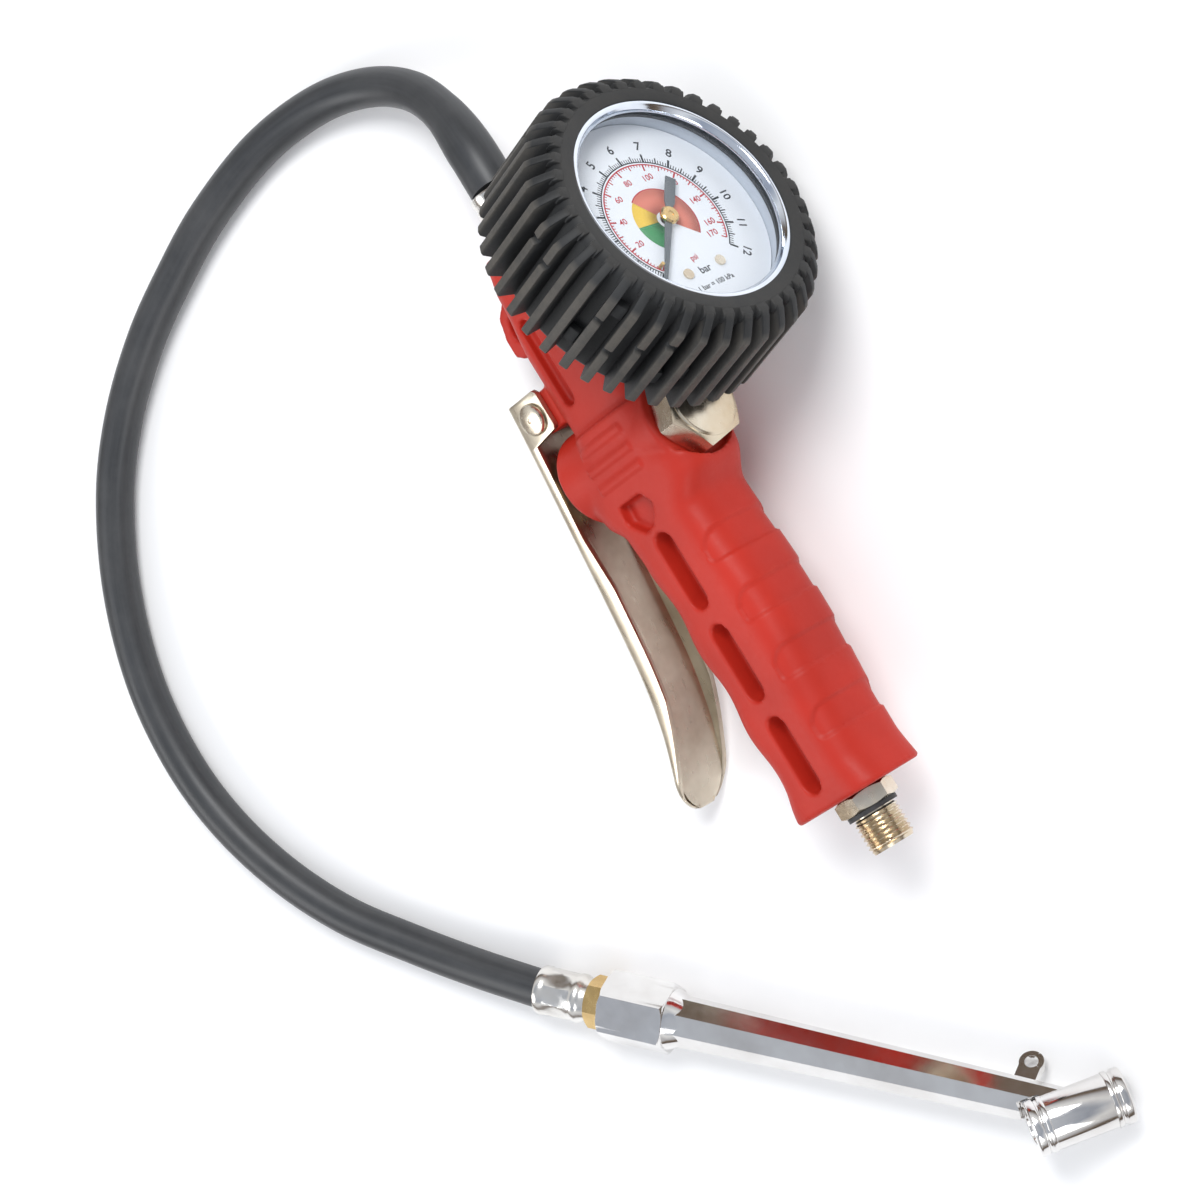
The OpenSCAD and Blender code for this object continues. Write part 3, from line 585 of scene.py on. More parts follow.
class MakeStage(bpy.types.Operator):
    """Pale floor, soft lights and the camera."""
    bl_idname = "inflator.stage"
    bl_label = "Stage"

    def execute(self, context):
        colours = context.scene.inflator_colours
        low, high = (Vector(c) for c in CAD_BOX)
        middle = (low + high) / 2
        bm = bmesh.new()
        bmesh.ops.create_grid(bm, x_segments=2, y_segments=2, size=3.0)
        floor = loose("floor", bm, Matrix.Translation((middle.x, middle.y, low.z)))
        paint = Paint("floor_paint", tuple(colours.floor), 0.6)
        pale = tuple(colours.floor)
        paint.colour(paint.ramp(paint.noise(6, 2), [(0.3, shade(pale, 0.99)), (0.7, pale)]))
        floor.data.materials.append(paint.material)
        world = bpy.data.worlds.new("studio")
        world.use_nodes = True
        nodes, links = world.node_tree.nodes, world.node_tree.links
        direction = nodes.new("ShaderNodeTexCoord")
        split = nodes.new("ShaderNodeSeparateXYZ")
        sky = nodes.new("ShaderNodeValToRGB")
        links.new(direction.outputs["Generated"], split.inputs["Vector"])
        links.new(split.outputs["Z"], sky.inputs["Fac"])
        links.new(sky.outputs["Color"], nodes["Background"].inputs["Color"])
        stops = [(0.0, (0.10, 0.07, 0.05)), (0.16, (0.20, 0.15, 0.11)), (0.30, (0.62, 0.62, 0.64)),
                 (0.52, (1.0, 1.0, 1.0)), (0.75, (0.42, 0.46, 0.54)), (1.0, (0.66, 0.69, 0.74))]
        for i, (place, tone) in enumerate(stops):
            stop = sky.color_ramp.elements[i] if i < 2 else sky.color_ramp.elements.new(place)
            stop.position = place
            stop.color = (*tone, 1)
        nodes["Background"].inputs["Strength"].default_value = 0.9
        context.scene.world = world
        for name, place, power in LAMPS:
            light = bpy.data.lights.new(name, "AREA")
            light.energy = power
            light.size = LAMP_SIZE
            lamp = bpy.data.objects.new(name, light)
            lamp.location = middle + Vector(place)
            lamp.rotation_euler = (-Vector(place)).to_track_quat("-Z", "Y").to_euler()
            context.scene.collection.objects.link(lamp)
        right = Vector(CAMERA_RIGHT).normalized()
        back = right.cross(Vector(CAMERA_UP)).normalized()
        turn = Matrix((right, back.cross(right), back)).transposed().to_4x4()
        camera = bpy.data.objects.new("camera", bpy.data.cameras.new("camera"))
        camera.data.sensor_width = SENSOR
        camera.data.lens = SENSOR * CAMERA_REACH / CAMERA_WIDTH
        camera.matrix_world = Matrix.Translation(Vector(CAMERA_TARGET) + back * CAMERA_REACH) @ turn
        context.scene.collection.objects.link(camera)
        context.scene.camera = camera
        context.scene.view_settings.view_transform = "Standard"
        return {"FINISHED"}


class MakeHose(bpy.types.Operator):
    """Rubber air hose, swollen where it leaves the gun."""
    bl_idname = "inflator.hose"
    bl_label = "Hose"

    def execute(self, context):
        radius = context.scene.inflator_sizes.hose_diameter / 2
        line = smooth_line(HOSE_ROUTE, 9)
        sides = 32
        across = Vector((0, 0, 1))
        s = 0.0
        rings, straight, centre = [], [], []
        for i, p in enumerate(line):
            ahead = (line[min(i + 1, len(line) - 1)] - line[max(i - 1, 0)]).normalized()
            across = (across - ahead * across.dot(ahead)).normalized()
            side = ahead.cross(across)
            s += (p - line[i - 1]).length if i else 0.0
            swell = 1.0 - min(1.0, max(0.0, (s - 0.012) / 0.022))
            r = radius * (1 + 0.21 * swell * swell * (3 - 2 * swell))
            centre.append(p)
            turns = [2 * math.pi * k / sides for k in range(sides)]
            rings.append([p + r * (math.cos(a) * across + math.sin(a) * side) for a in turns])
            straight.append([(s, r * math.cos(a), r * math.sin(a)) for a in turns])
        bm = bmesh.new()
        along = bm.verts.layers.float_vector.new("along")
        loft(bm, rings)
        bm.verts.ensure_lookup_table()
        flat = {}
        for ring, row in zip(rings, straight):
            flat.update((tuple(round(c, 7) for c in p), q) for p, q in zip(ring, row))
        for vert in bm.verts:
            vert[along] = flat[tuple(round(c, 7) for c in vert.co)]
        hose = finish_mesh("hose", bm, Matrix.Identity(4), "hose", "gun", "hose", 60)
        return {"FINISHED"}


def palm_y(x):
    return 16 + 1.2 * math.cos(2 * math.pi * (x - 56) / 78) + max(0.0, x - 98) * 0.2


def front_y(x):
    return -16 - 0.9 * math.cos(2 * math.pi * (x - 55) / 25) - max(0.0, x - 98) * 0.22


def between(table, x):
    """Value at x on a line of (x, value) points."""
    if x <= table[0][0]:
        return table[0][1]
    for (x0, v0), (x1, v1) in zip(table, table[1:]):
        if x <= x1:
            t = (x - x0) / (x1 - x0)
            return v0 + (v1 - v0) * t * t * (3 - 2 * t)
    return table[-1][1]


def section(x, front, palm, wide):
    """A rounded section of the moulding across the gun's length."""
    sides = 48
    deep_power = 0.5
    wide_power = 0.62
    points = []
    for i in range(sides):
        a = 2 * math.pi * i / sides
        c, s = math.cos(a), math.sin(a)
        y = (front + palm) / 2 + math.copysign(abs(c) ** deep_power, c) * (palm - front) / 2
        z = math.copysign(abs(s) ** wide_power, s) * wide / 2
        points.append((x, y, z))
    return points


class MakeGrip(bpy.types.Operator):
    """Moulded red body with pockets in both flanks and sunk palm panels."""
    bl_idname = "inflator.grip"
    bl_label = "Grip"

    def execute(self, context):
        bm = bmesh.new()
        shoulder = [(-10, 17.5), (1, 17.5), (9, 22), (12, 21.2), (22, palm_y(22))]
        throat = [(-10, -15), (9, -24), (13, -22.5), (20, -17.5), (28, front_y(28))]
        rings = []
        for i in range(-10, 108):
            palm = between(shoulder, i) if i < 22 else palm_y(i)
            front = between(throat, i) if i < 28 else front_y(i)
            rings.append(section(i, front, palm, 27))
        own = bmesh.new()
        loft(own, rings)
        add_bmesh(bm, own)
        top = [(-62, 10), (-54, 14), (-12, 16.5), (0, 16.5)]
        low = [(-62, -10), (-52, -13), (-34, -15.5), (0, -15.5)]
        own = bmesh.new()
        loft(own, [section(i, between(low, i), between(top, i), 23) for i in range(-62, 1)])
        add_bmesh(bm, own)
        boss = [(0, -24.5), (12.7, -24.5), (BOSS_R, -23.7), (BOSS_R, 16.7), (12.7, CAP_FACE), (0, CAP_FACE)]
        turned(bm, boss, TO_Y, 96)
        gauge_on_gun = GUN.inverted() @ GAUGE
        turned(bm, [(0, 0), (12, 0), (12, 19.5), (11.5, 20), (0, 20)], gauge_on_gun, 72)
        prism(bm, [(-54, -11), (-54, -17), (-50, -22.5), (-44, -24.5), (-39, -24.5), (-37, -22), (-36, -11)],
              -2.5, 2.5)
        turned(bm, [(0, -8.2), (5.5, -8.2), (5.5, 8.2), (0, 8.2)], AT_PIN, 48)
        prism(bm, [(-27, -22.5), (-16, -22.5), (-16, -12), (-27, -12)], -8.2, 8.2)
        grip = loose("grip", bm, GUN)
        join_voxels(grip, BLANK_VOXEL)
        cut = bmesh.new()
        pockets = [(7, oblong(23, 6.5, x, -1)) for x in (34.5, 62.5, 90.5)]
        pockets.append((10, [(11.5, -9), (16.5, -9.5), (21, -5), (20.5, -1), (15.5, 3), (11.5, 0.5)]))
        pockets.append((8, oblong(26, 5, -31, -6)))
        for side in (1, -1):
            for floor, outline in pockets:
                low_z, high_z = sorted((side * floor, side * FLANK_OUT))
                prism(cut, outline, low_z, high_z)
        prism(cut, oblong(8, 5, -45, -18, math.radians(-20)), -6, 6)
        turned(cut, [(0, -26), (9.5, -26), (9.5, 19), (0, 19)], TO_Y, 72)
        turned(cut, [(0, 17.5), (13.0, 17.5), (13.0, 27.5), (0, 27.5)], TO_Y, 72)
        turned(cut, [(0, -0.5), (6, -0.5), (6, 108), (0, 108)], TO_X, 48)
        turned(cut, [(0, -63), (7, -63), (7, 0.5), (0, 0.5)], TO_X, 48)
        turned(cut, [(0, 0), (8, 0), (8, 23), (0, 23)], gauge_on_gun, 48)
        turned(cut, [(0, -20), (2.5, -20), (2.5, 20), (0, 20)], AT_PIN, 32)
        cutter = loose("hollows", cut, GUN)
        join_voxels(cutter, HOLLOW_VOXEL)
        cut_away(grip, cutter)
        join_voxels(grip, SKIN_VOXEL)
        soften(grip, 0.5, 4)
        apply_modifiers(grip)
        self.mark_skin(grip)
        dress(grip, "grip", "gun", "grip_body", 50)
        return {"FINISHED"}

    def mark_skin(self, grip):
        """Sinks the four palm panels into the skin and lifts three plain bars on the boss."""
        to_gun = GUN.inverted()
        for vert, normal in zip(grip.data.vertices, [v.normal.copy() for v in grip.data.vertices]):
            p = to_gun @ vert.co
            radius = math.hypot(p.y, p.z)
            lift = 0.0
            if radius > 11 and 26 < p.x < 96:
                for x in PANEL_STARTS:
                    into = p.y - 9.6
                    low_x = x - 1.8 + 4.2 * max(0.0, 1 - into / 5.0) ** 2
                    high_x = x + 6.9 - 1.5 * max(0.0, 1 - into / 1.5) ** 2
                    edge = min(p.x - low_x, high_x - p.x, into)
                    if edge > 0:
                        lift = min(lift, -1.3 * min(1.0, edge / 0.5))
            if abs(p.x) < 9 and abs(p.z) > 10.5 and -12 < p.y < 8:
                for x in BAR_CENTRES:
                    edge = min(1.1 - abs(p.x - x), 9.5 - abs(p.y + 2))
                    if edge > -0.35:
                        lift = max(lift, min(1.0, (edge + 0.35) / 0.6))
            if lift:
                vert.co += normal * lift * MARK_DEPTH * MM


class MakeLever(bpy.types.Operator):
    """Pressed steel trigger: an open channel with ears round the pivot and a rounded tip."""
    bl_idname = "inflator.lever"
    bl_label = "Lever"

    def execute(self, context):
        outline = [(-28, -30), (-12, -31.8), (7, -34.2), (33, -37.5), (52, -40.5), (66, -44.5), (78, -50),
                   (88, -55.5)]
        line = [Vector((p.x, p.y)) for p in smooth_line([Vector((*p, 0)) for p in outline], 8)]
        stations = []
        for a, b in zip(line, line[1:]):
            stations += [a, (a + b) / 2]
        stations.append(line[-1])
        bm = bmesh.new()
        rows = []
        for p in stations:
            x, y = p
            half = 10.0 if x < 79 else max(3.0, math.sqrt(max(0.0, 81 + 19 - (x - 79) ** 2)))
            half = min(half, 10.0)
            if x < -15.9:
                top = -17.0 - max(0.0, -27 - x) * 1.0 - max(0.0, x + 17) * 1.0
            elif x < 12:
                top = y + 4.2
            elif x < 60:
                top = y + min(6.4, 4.2 + (x - 12) * 0.14)
            else:
                top = y + max(1.6, 6.4 - (x - 60) * 0.19)
            bend = 1.5
            points = [(-half, top), (-half, (top + y + bend) / 2), (-half, y + bend)]
            points += [(-half + bend * (1 - math.cos(a)), y + bend * (1 - math.sin(a)))
                       for a in (math.radians(30), math.radians(60), math.radians(90))]
            points += [(-half * 0.4, y)]
            points += [(-z, v) for z, v in reversed(points)]
            rows.append([(x, v, z) for z, v in points])
        first = [bm.verts.new(p) for p in rows[0]]
        edges = [bm.edges.new(pair) for pair in zip(first, first[1:])]
        for row in rows[1:]:
            made = bmesh.ops.extrude_edge_only(bm, edges=edges)["geom"]
            fresh = {g for g in made if isinstance(g, bmesh.types.BMVert)}
            order = [next(e.other_vert(v) for e in v.link_edges if e.other_vert(v) in fresh) for v in first]
            edges = [bm.edges.get(pair) for pair in zip(order, order[1:])]
            for vert, point in zip(order, row):
                vert.co = point
            first = order
        bmesh.ops.recalc_face_normals(bm, faces=bm.faces)
        outward = sum((f.normal.y for f in bm.faces if abs(f.normal.y) > 0.9), 0.0)
        if outward > 0:
            bmesh.ops.reverse_faces(bm, faces=bm.faces)
        bmesh.ops.transform(bm, matrix=GUN, verts=bm.verts)
        mesh = bpy.data.meshes.new("lever")
        bm.to_mesh(mesh)
        bm.free()
        lever = bpy.data.objects.new("lever", mesh)
        context.scene.collection.objects.link(lever)
        sheet = lever.modifiers.new("sheet", "SOLIDIFY")
        sheet.thickness = 1.5 * MM
        sheet.offset = -1
        sheet.use_even_offset = True
        edges = lever.modifiers.new("edges", "BEVEL")
        edges.width = 0.3 * MM
        edges.segments = 2
        edges.limit_method = "ANGLE"
        edges.angle_limit = math.radians(50)
        apply_modifiers(lever)
        hole = bmesh.new()
        turned(hole, [(0, -20), (2.6, -20), (2.6, 20), (0, 20)], AT_PIN, 48)
        cut_away(lever, loose("pivot_hole", hole, GUN))
        dress(lever, "lever", "lever", "trigger_lever", 40)
        pin = bmesh.new()
        turned(pin, [(0, -12.2), (2.2, -12.2), (2.45, -11.9), (2.45, 10.2), (4.2, 10.2), (4.4, 10.4),
                     (4.4, 11.0), (4.1, 11.5), (3.4, 11.75), (0.7, 11.8), (0.5, 11.4), (0, 11.3)], AT_PIN, 64)
        finish_mesh("lever_pin", pin, GUN, "nickel", "gun", "lever_pin")
        return {"FINISHED"}


def gauge_angle(bar):
    return math.radians(-45 - 22.5 * bar)


def dial_point(radius, bar):
    a = gauge_angle(bar)
    return Vector((radius * math.cos(a), radius * math.sin(a), PRINT_AT))


def band(bm, inner, outer, start, end, index):
    """A printed arc between two values of the scale."""
    steps = max(2, int(abs(end - start) * 8))
    low = [bm.verts.new(dial_point(inner, start + (end - start) * i / steps)) for i in range(steps + 1)]
    edges = [bm.edges.new(pair) for pair in zip(low, low[1:])]
    made = bmesh.ops.extrude_edge_only(bm, edges=edges)["geom"]
    for g in made:
        if isinstance(g, bmesh.types.BMVert):
            g.co = g.co.xy.normalized().to_3d() * outer + Vector((0, 0, g.co.z))
        elif isinstance(g, bmesh.types.BMFace):
            g.material_index = index


def tick(bm, inner, outer, bar, wide, index):
    a = dial_point(inner, bar)
    b = dial_point(outer, bar)
    side = (b - a).normalized().cross(Vector((0, 0, 1))) * wide / 2
    face = bm.faces.new([bm.verts.new(p) for p in (a - side, a + side, b + side, b - side)])
    face.material_index = index


def figure(bm, words, size, place, index, turn=0.0):
    """Sets a number or unit mark flat on the dial, upright to the reader."""
    curve = bpy.data.curves.new("figure", "FONT")
    curve.body = words
    curve.size = size
    curve.align_x = "CENTER"
    curve.align_y = "CENTER"
    curve.resolution_u = 3
    curve.offset = size * 0.016
    holder = bpy.data.objects.new("figure", curve)
    bpy.context.scene.collection.objects.link(holder)
    bpy.context.view_layer.update()
    mesh = bpy.data.meshes.new_from_object(holder.evaluated_get(bpy.context.evaluated_depsgraph_get()))
    upright = Matrix(((0, -1, 0), (1, 0, 0), (0, 0, 1))).to_4x4()
    mesh.transform(Matrix.Translation(place) @ upright @ Matrix.Rotation(turn, 4, "Z"))
    count = len(bm.faces)
    bm.from_mesh(mesh)
    bm.faces.ensure_lookup_table()
    for face in bm.faces[count:]:
        face.material_index = index
    bpy.data.objects.remove(holder)
    bpy.data.curves.remove(curve)
    bpy.data.meshes.remove(mesh)


class MakeGauge(bpy.types.Operator):
    """Rubber boot, printed dial, needle, bezel and lens."""
    bl_idname = "inflator.gauge"
    bl_label = "Gauge"

    def execute(self, context):
        sizes = context.scene.inflator_sizes
        self.make_boot(sizes.boot_ribs)
        bm = bmesh.new()
        turned(bm, [(1.6, 48), (30.2, 48), (30.5, 48.2), (30.5, 48.6), (1.6, 48.6)], steps=128, closed=True)
        finish_mesh("dial_plate", bm, GAUGE, "dial", "gun", "dial_plate")
        self.make_print(sizes.bar_max, sizes.psi_max)
        self.make_needle()
        bm = bmesh.new()
        turned(bm, [(32, 50), (32, 57.3), (31.7, 57.75), (31.2, 57.9), (30.9, 58.15), (30.4, 58.3),
                    (29.9, 58.2), (29.5, 57.7), (29.2, 57.1), (28.8, 56.6), (28.8, 56.05), (31.45, 56.05),
                    (31.45, 50)], steps=160, closed=True)
        finish_mesh("bezel_ring", bm, GAUGE, "bezel", "gun", "bezel_ring", 50)
        bm = bmesh.new()
        turned(bm, [(0, 54), (31.0, 54), (31.4, 54.3), (31.4, 55.7), (31.0, 56), (24, 56), (0, 56)],
               steps=128)
        finish_mesh("lens", bm, GAUGE, "lens", "gun", "lens")
        return {"FINISHED"}

    def make_boot(self, ribs):
        rng = random.Random(11)
        upright = Matrix.Rotation(math.radians(90), 4, "X")
        bm = bmesh.new()
        turned(bm, [(22, 24), (34.8, 24), (36, 24.5), (36.5, 25.4), (36.5, 55.3), (36, 57.2), (34.6, 58.5),
                    (31.3, 58.5), (30.9, 58.2), (30.9, 57.85), (32.05, 57.85), (32.05, 50), (31.55, 50),
                    (31.55, 25.4), (22, 25.4)], steps=160, closed=True)
        for i in range(ribs):
            place = Matrix.Rotation(2 * math.pi * (i + 0.5) / ribs, 4, "Z") @ upright
            wide = 1.2 + rng.uniform(-0.1, 0.1)
            outline = [(34.3, 24.5), (41, 24.5), (42, 25.5), (42, 52.5), (40.9, 54.4), (38.2, 57.6),
                       (36.9, 58.45), (34.3, 58.45)]
            if rng.random() < 0.3:
                notch = rng.uniform(34, 48)
                outline[3:3] = [(42, notch), (40.4, notch + 0.5), (40.4, notch + 1.7), (42, notch + 2.2)]
            prism(bm, outline, -wide, wide, place, bevel=0.35)
            prism(bm, [(34.2, 55.5), (37.4, 55.5), (37.4, 57.4), (36.6, 58.5), (34.2, 58.5)],
                  -wide - 0.55, wide + 0.55, place, bevel=0.3)
            if rng.random() < 0.4:
                block = rng.uniform(30, 50)
                turn = Matrix.Rotation(2 * math.pi * (i + 1) / ribs, 4, "Z") @ upright
                prism(bm, [(35.5, block), (38.9, block), (38.9, block + 4.5), (35.5, block + 4.5)], -1.6, 1.6,
                      turn, bevel=0.35)
        # Mask for the lighter grey-brown on the rib tops and the front rim, which is partly painted highlight
        rib_top_tone_and_highlight = bm.verts.layers.float.new("rib_top_tone_and_highlight")
        for vert in bm.verts:
            reach = vert.co.xy.length
            front = min(1.0, max(0.0, (vert.co.z - 57.6) / 0.8)) if reach > 31.2 else 0.0
            vert[rib_top_tone_and_highlight] = max(min(1.0, max(0.0, (reach - 41.2) / 0.6)), front * 0.25)
        finish_mesh("gauge_boot", bm, GAUGE, "boot", "gun", "gauge_boot", 40, recalc=False)

    def make_print(self, bar_max, psi_max):
        bm = bmesh.new()
        band(bm, 18.2, 18.55, 0, bar_max, 0)
        for i in range(bar_max * 10 + 1):
            bar = i / 10
            long, wide = (20.9, 0.6) if i % 10 == 0 else (20.2, 0.36) if i % 5 == 0 else (19.6, 0.24)
            tick(bm, 18.5, long, bar, wide, 0)
        for bar in range(bar_max + 1):
            size = 3.7 if bar < 10 else 3.4
            figure(bm, str(bar), size, dial_point(23.4, bar), 0, gauge_angle(bar) - math.pi)
        band(bm, 17.4, 17.8, 0, psi_max / PSI_PER_BAR, 1)
        for psi in range(0, psi_max + 1, 2):
            long, wide = (15.6, 0.5) if psi % 20 == 0 else (16.1, 0.36) if psi % 10 == 0 else (16.8, 0.24)
            tick(bm, long, 17.5, psi / PSI_PER_BAR, wide, 1)
        for psi in list(range(20, psi_max - 9, 20)) + [psi_max]:
            bar = psi / PSI_PER_BAR
            figure(bm, str(psi), 2.5, dial_point(13.4, bar), 1)
        band(bm, 2.6, 9.7, 0, 2.2, 2)
        band(bm, 2.6, 9.7, 2.2, 4.4, 3)
        band(bm, 2.6, 9.7, 4.4, bar_max, 4)
        band(bm, 9.7, 10.0, 4.4, bar_max, 1)
        figure(bm, "bar", 3.1, Vector((16.4, 0, PRINT_AT)), 0)
        figure(bm, "psi", 2.4, Vector((12.4, -0.6, PRINT_AT)), 1)
        figure(bm, "1 bar = 100 kPa", 2.1, Vector((21.0, 0, PRINT_AT)), 0)
        bmesh.ops.recalc_face_normals(bm, faces=bm.faces)
        for face in bm.faces:
            if face.normal.z < 0:
                face.normal_flip()
        printed = finish_mesh("dial_print", bm, GAUGE, "ink", "gun", None, recalc=False)
        for key in ("red_ink", "sector_green", "sector_yellow", "sector_red"):
            printed.data.materials.append(MATERIALS[key])
        film = printed.modifiers.new("film", "SOLIDIFY")
        film.thickness = 0.04 * MM
        film.offset = -1

    def make_needle(self):
        at_zero = GAUGE @ Matrix.Rotation(gauge_angle(0), 4, "Z")
        bm = bmesh.new()
        outline = [(-13.4, -1.5), (-5, -1.5), (-3.2, -1.05), (3, -1.05), (22, -0.5), (25, -0.12),
                   (25, 0.12), (22, 0.5), (3, 1.05), (-3.2, 1.05), (-5, 1.5), (-13.4, 1.5)]
        prism(bm, outline, 50.0, 50.5, bevel=0.12)
        finish_mesh("pointer", bm, at_zero, "pointer", "pointer", "pointer")
        bm = bmesh.new()
        turned(bm, [(0, 50.0), (2.3, 50.0), (2.6, 50.3), (2.6, 51.0), (2.2, 51.45), (0.8, 51.6),
                    (0.6, 51.3), (0, 51.25)])
        finish_mesh("pointer_hub", bm, GAUGE, "brass", "pointer", "pointer_hub")


class MakeFittings(bpy.types.Operator):
    """Nuts, inlet thread, hose adapter and crimped ferrules."""
    bl_idname = "inflator.fittings"
    bl_label = "Fittings"

    def execute(self, context):
        bm = bmesh.new()
        hexagon(bm, 22, CAP_FACE, 25.3, math.radians(10), TO_Y)
        turned(bm, [(0, 25), (10.3, 25), (10.3, 25.5), (9.9, 25.9), (9.5, 26), (0, 26)], TO_Y, 72)
        finish_mesh("cap_nut", bm, GUN, "nickel", "gun", "cap_nut")
        down = Matrix.Rotation(math.radians(90), 4, "X")
        bm = bmesh.new()
        hexagon(bm, 15, 24.5, 27.9, math.radians(30), down, bore=2.15)
        finish_mesh("gland_nut", bm, GUN, "nickel", "gun", "gland_nut")
        bm = bmesh.new()
        hexagon(bm, 15, GRIP_END, 112, math.radians(6), TO_X)
        own = bmesh.new()
        rings = [circle(5.6, 111.5), circle(5.6, THREAD_FROM)]
        pitch = 1.337
        steps = 80
        for i in range(steps + 1):
            z = THREAD_FROM + (THREAD_TO - THREAD_FROM) * i / steps
            run_out = min(1.0, (THREAD_TO - z) / 0.9, (z - THREAD_FROM) / 0.5)
            ring = []
            for k in range(72):
                phase = (z / pitch + k / 72) % 1.0
                depth = 0.82 * abs(2 * phase - 1) if run_out >= 1 else 0.82 - 0.3 * run_out
                a = 2 * math.pi * k / 72
                ring.append(((6.56 - depth) * math.cos(a), (6.56 - depth) * math.sin(a), z))
            rings.append(ring)
        rings += [circle(4.3, THREAD_TO), circle(4.0, THREAD_TO - 0.3), circle(4.0, THREAD_FROM)]
        loft(own, rings)
        add_bmesh(bm, own, TO_X)
        finish_mesh("inlet_fitting", bm, GUN, "nickel", "gun", "inlet_fitting")
        bm = bmesh.new()
        hexagon(bm, 14, -69.5, -63.5, 0.0, TO_X)
        turned(bm, [(0, -64), (4.9, -64), (4.9, -52), (0, -52)], TO_X, 48)
        turned(bm, [(0, -78), (4.4, -78), (4.4, -69), (0, -69)], TO_X, 48)
        finish_mesh("hose_adapter", bm, GUN, "nickel", "gun", "hose_adapter")
        bm = bmesh.new()
        turned(bm, [(4.4, -78), (7.0, -78), (7.3, -77.6), (7.3, -75.9), (7.05, -75.5), (7.05, -74.7),
                    (7.3, -74.3), (7.3, -72.4), (7.05, -72), (7.05, -71.3), (7.3, -70.9), (7.3, -70),
                    (6.9, -69.5), (4.4, -69.5)], TO_X, 72, closed=True)
        finish_mesh("hose_ferrule_gun", bm, GUN, "ferrule", "gun", "hose_ferrule_gun")
        bm = bmesh.new()
        profile = [(6.3, 0), (6.7, 0.2), (6.9, 0.7), (6.9, 2.0), (6.7, 2.5), (6.75, 3.4), (6.75, 5), (6.7, 7),
                   (6.7, 9), (6.7, 10.4), (6.6, 11), (6.85, 11.5), (6.9, 12.2), (6.85, 12.9), (6.5, 13.5),
                   (6.1, 14.2), (6.0, 15.5), (3.0, 15.5), (3.0, 8), (3.0, 0)]
        sides = 96
        crimps = 8
        rings = []
        for r, x in profile:
            crimp = 0.55 * max(0.0, 1 - ((x - 7) / 3.9) ** 2) if r > 6.5 else 0.0
            ring = []
            for k, (px, py, pz) in enumerate(circle(r, x, sides)):
                squash = 1 - crimp / r * abs(math.cos(crimps / 2 * 2 * math.pi * k / sides))
                ring.append((px * squash, py * squash, pz))
            rings.append(ring)
        own = bmesh.new()
        loft(own, rings, wrap=True)
        add_bmesh(bm, own, TO_X)
        ferrule = finish_mesh("hose_ferrule_end", bm, BAR, "ferrule", "gun", "hose_ferrule_end")
        bm = bmesh.new()
        hexagon(bm, 13, 15.5, 21, 0.0, TO_X)
        finish_mesh("hose_nut", bm, BAR, "brass", "gun", "hose_nut")
        return {"FINISHED"}


class MakeConnector(bpy.types.Operator):
    """Plated connector: rounds its edges and those of its two foot caps."""
    bl_idname = "inflator.connector"
    bl_label = "Connector"

    def execute(self, context):
        for name, width in (("connector_body", 0.45), ("socket_cap_rear", 0.2), ("socket_cap_front", 0.2)):
            piece = frame["nodes"][name]
            piece.data.materials.clear()
            piece.data.materials.append(MATERIALS["chrome"])
            weld = piece.modifiers.new("weld", "WELD")
            weld.merge_threshold = 0.001 * MM
            edges = piece.modifiers.new("edges", "BEVEL")
            edges.width = width * MM
            edges.segments = 3
            edges.limit_method = "ANGLE"
            edges.angle_limit = math.radians(28)
            edges.harden_normals = True
        return {"FINISHED"}


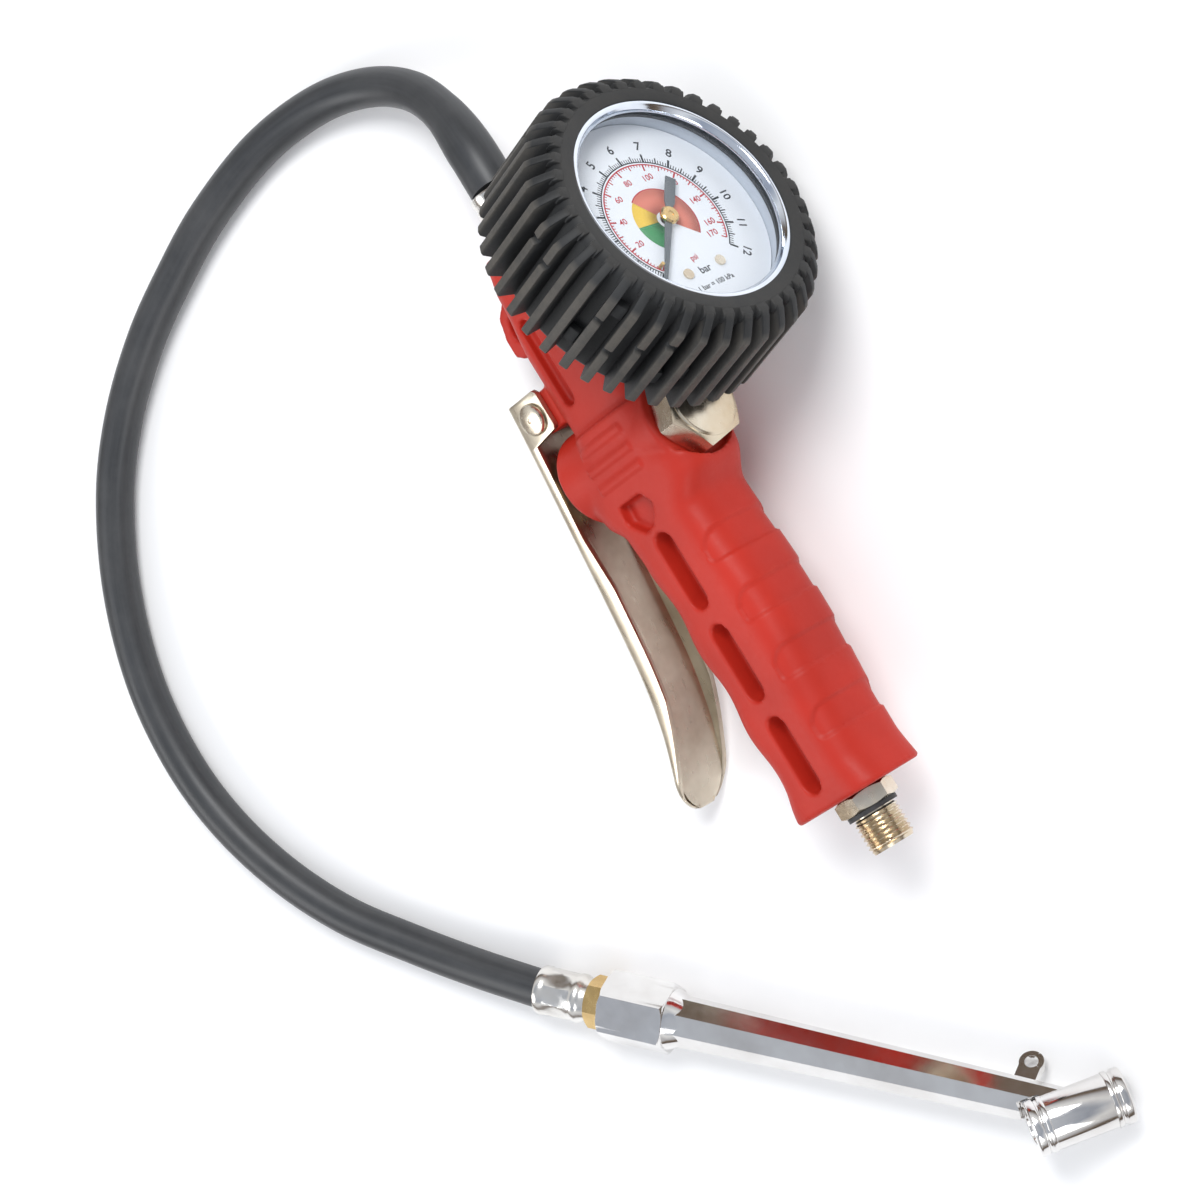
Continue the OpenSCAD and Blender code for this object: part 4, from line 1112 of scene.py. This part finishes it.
CAD_FINISH = {
    "brass": ("bourdon_tube", "tube_tip", "movement_frame", "sector_gear", "pinion", "gauge_stem",
              "valve_core", "inlet_filter", "stop_pin"),
    "seal": ("inlet_seal", "socket_seal_rear", "socket_seal_front", "cap_seal", "poppet_seal", "stem_seal",
             "adapter_seal", "gauge_seal", "lens_gasket"),
    "spring": ("valve_spring", "valve_stem", "depressor_spring_rear", "depressor_spring_front", "hairspring",
               "pin_clip", "link_bar", "depressor_rear", "depressor_front"),
    "nickel": ("valve_poppet", "dial_screws"),
    "case": ("gauge_case",),
}


class FinishCad(bpy.types.Operator):
    """Gives every inner piece its own metal, rubber or paint."""
    bl_idname = "inflator.inner"
    bl_label = "Inner pieces"

    def execute(self, context):
        for key, nodes in CAD_FINISH.items():
            for name in nodes:
                piece = frame["nodes"][name]
                piece.data.materials.clear()
                piece.data.materials.append(MATERIALS[key])
        return {"FINISHED"}


class DeclareHose(bpy.types.Operator):
    """Takes no step; it returns at once."""
    bl_idname = "inflator.declare"
    bl_label = "Declare hose"

    def execute(self, context):
        return {"FINISHED"}


class InflatorPanel(bpy.types.Panel):
    """Sizes, colours and the steps that make the inflator."""
    bl_idname = "INFLATOR_PT_main"
    bl_label = "Inflator"
    bl_space_type = "VIEW_3D"
    bl_region_type = "UI"
    bl_category = "Inflator"

    def draw(self, context):
        for group in (context.scene.inflator_sizes, context.scene.inflator_colours):
            for name in group.__annotations__:
                self.layout.prop(group, name)
        for step in STEPS:
            self.layout.operator(step.bl_idname)


STEPS = (MakeStage, MakeHose, MakeGrip, MakeLever, MakeGauge, MakeFittings, MakeConnector, FinishCad,
         DeclareHose)
CLASSES = (InflatorSizes, InflatorColours, *STEPS, InflatorPanel)


def register():
    for kind in CLASSES:
        bpy.utils.register_class(kind)
    bpy.types.Scene.inflator_sizes = PointerProperty(type=InflatorSizes)
    bpy.types.Scene.inflator_colours = PointerProperty(type=InflatorColours)


def unregister():
    del bpy.types.Scene.inflator_sizes
    del bpy.types.Scene.inflator_colours
    for kind in reversed(CLASSES):
        bpy.utils.unregister_class(kind)


def main():
    register()
    make_materials(bpy.context.scene.inflator_colours)
    bpy.ops.inflator.stage()
    bpy.ops.inflator.hose()
    bpy.ops.inflator.grip()
    bpy.ops.inflator.lever()
    bpy.ops.inflator.gauge()
    bpy.ops.inflator.fittings()
    bpy.ops.inflator.connector()
    bpy.ops.inflator.inner()
    bpy.ops.inflator.declare()


if __name__ == "__main__":
    main()
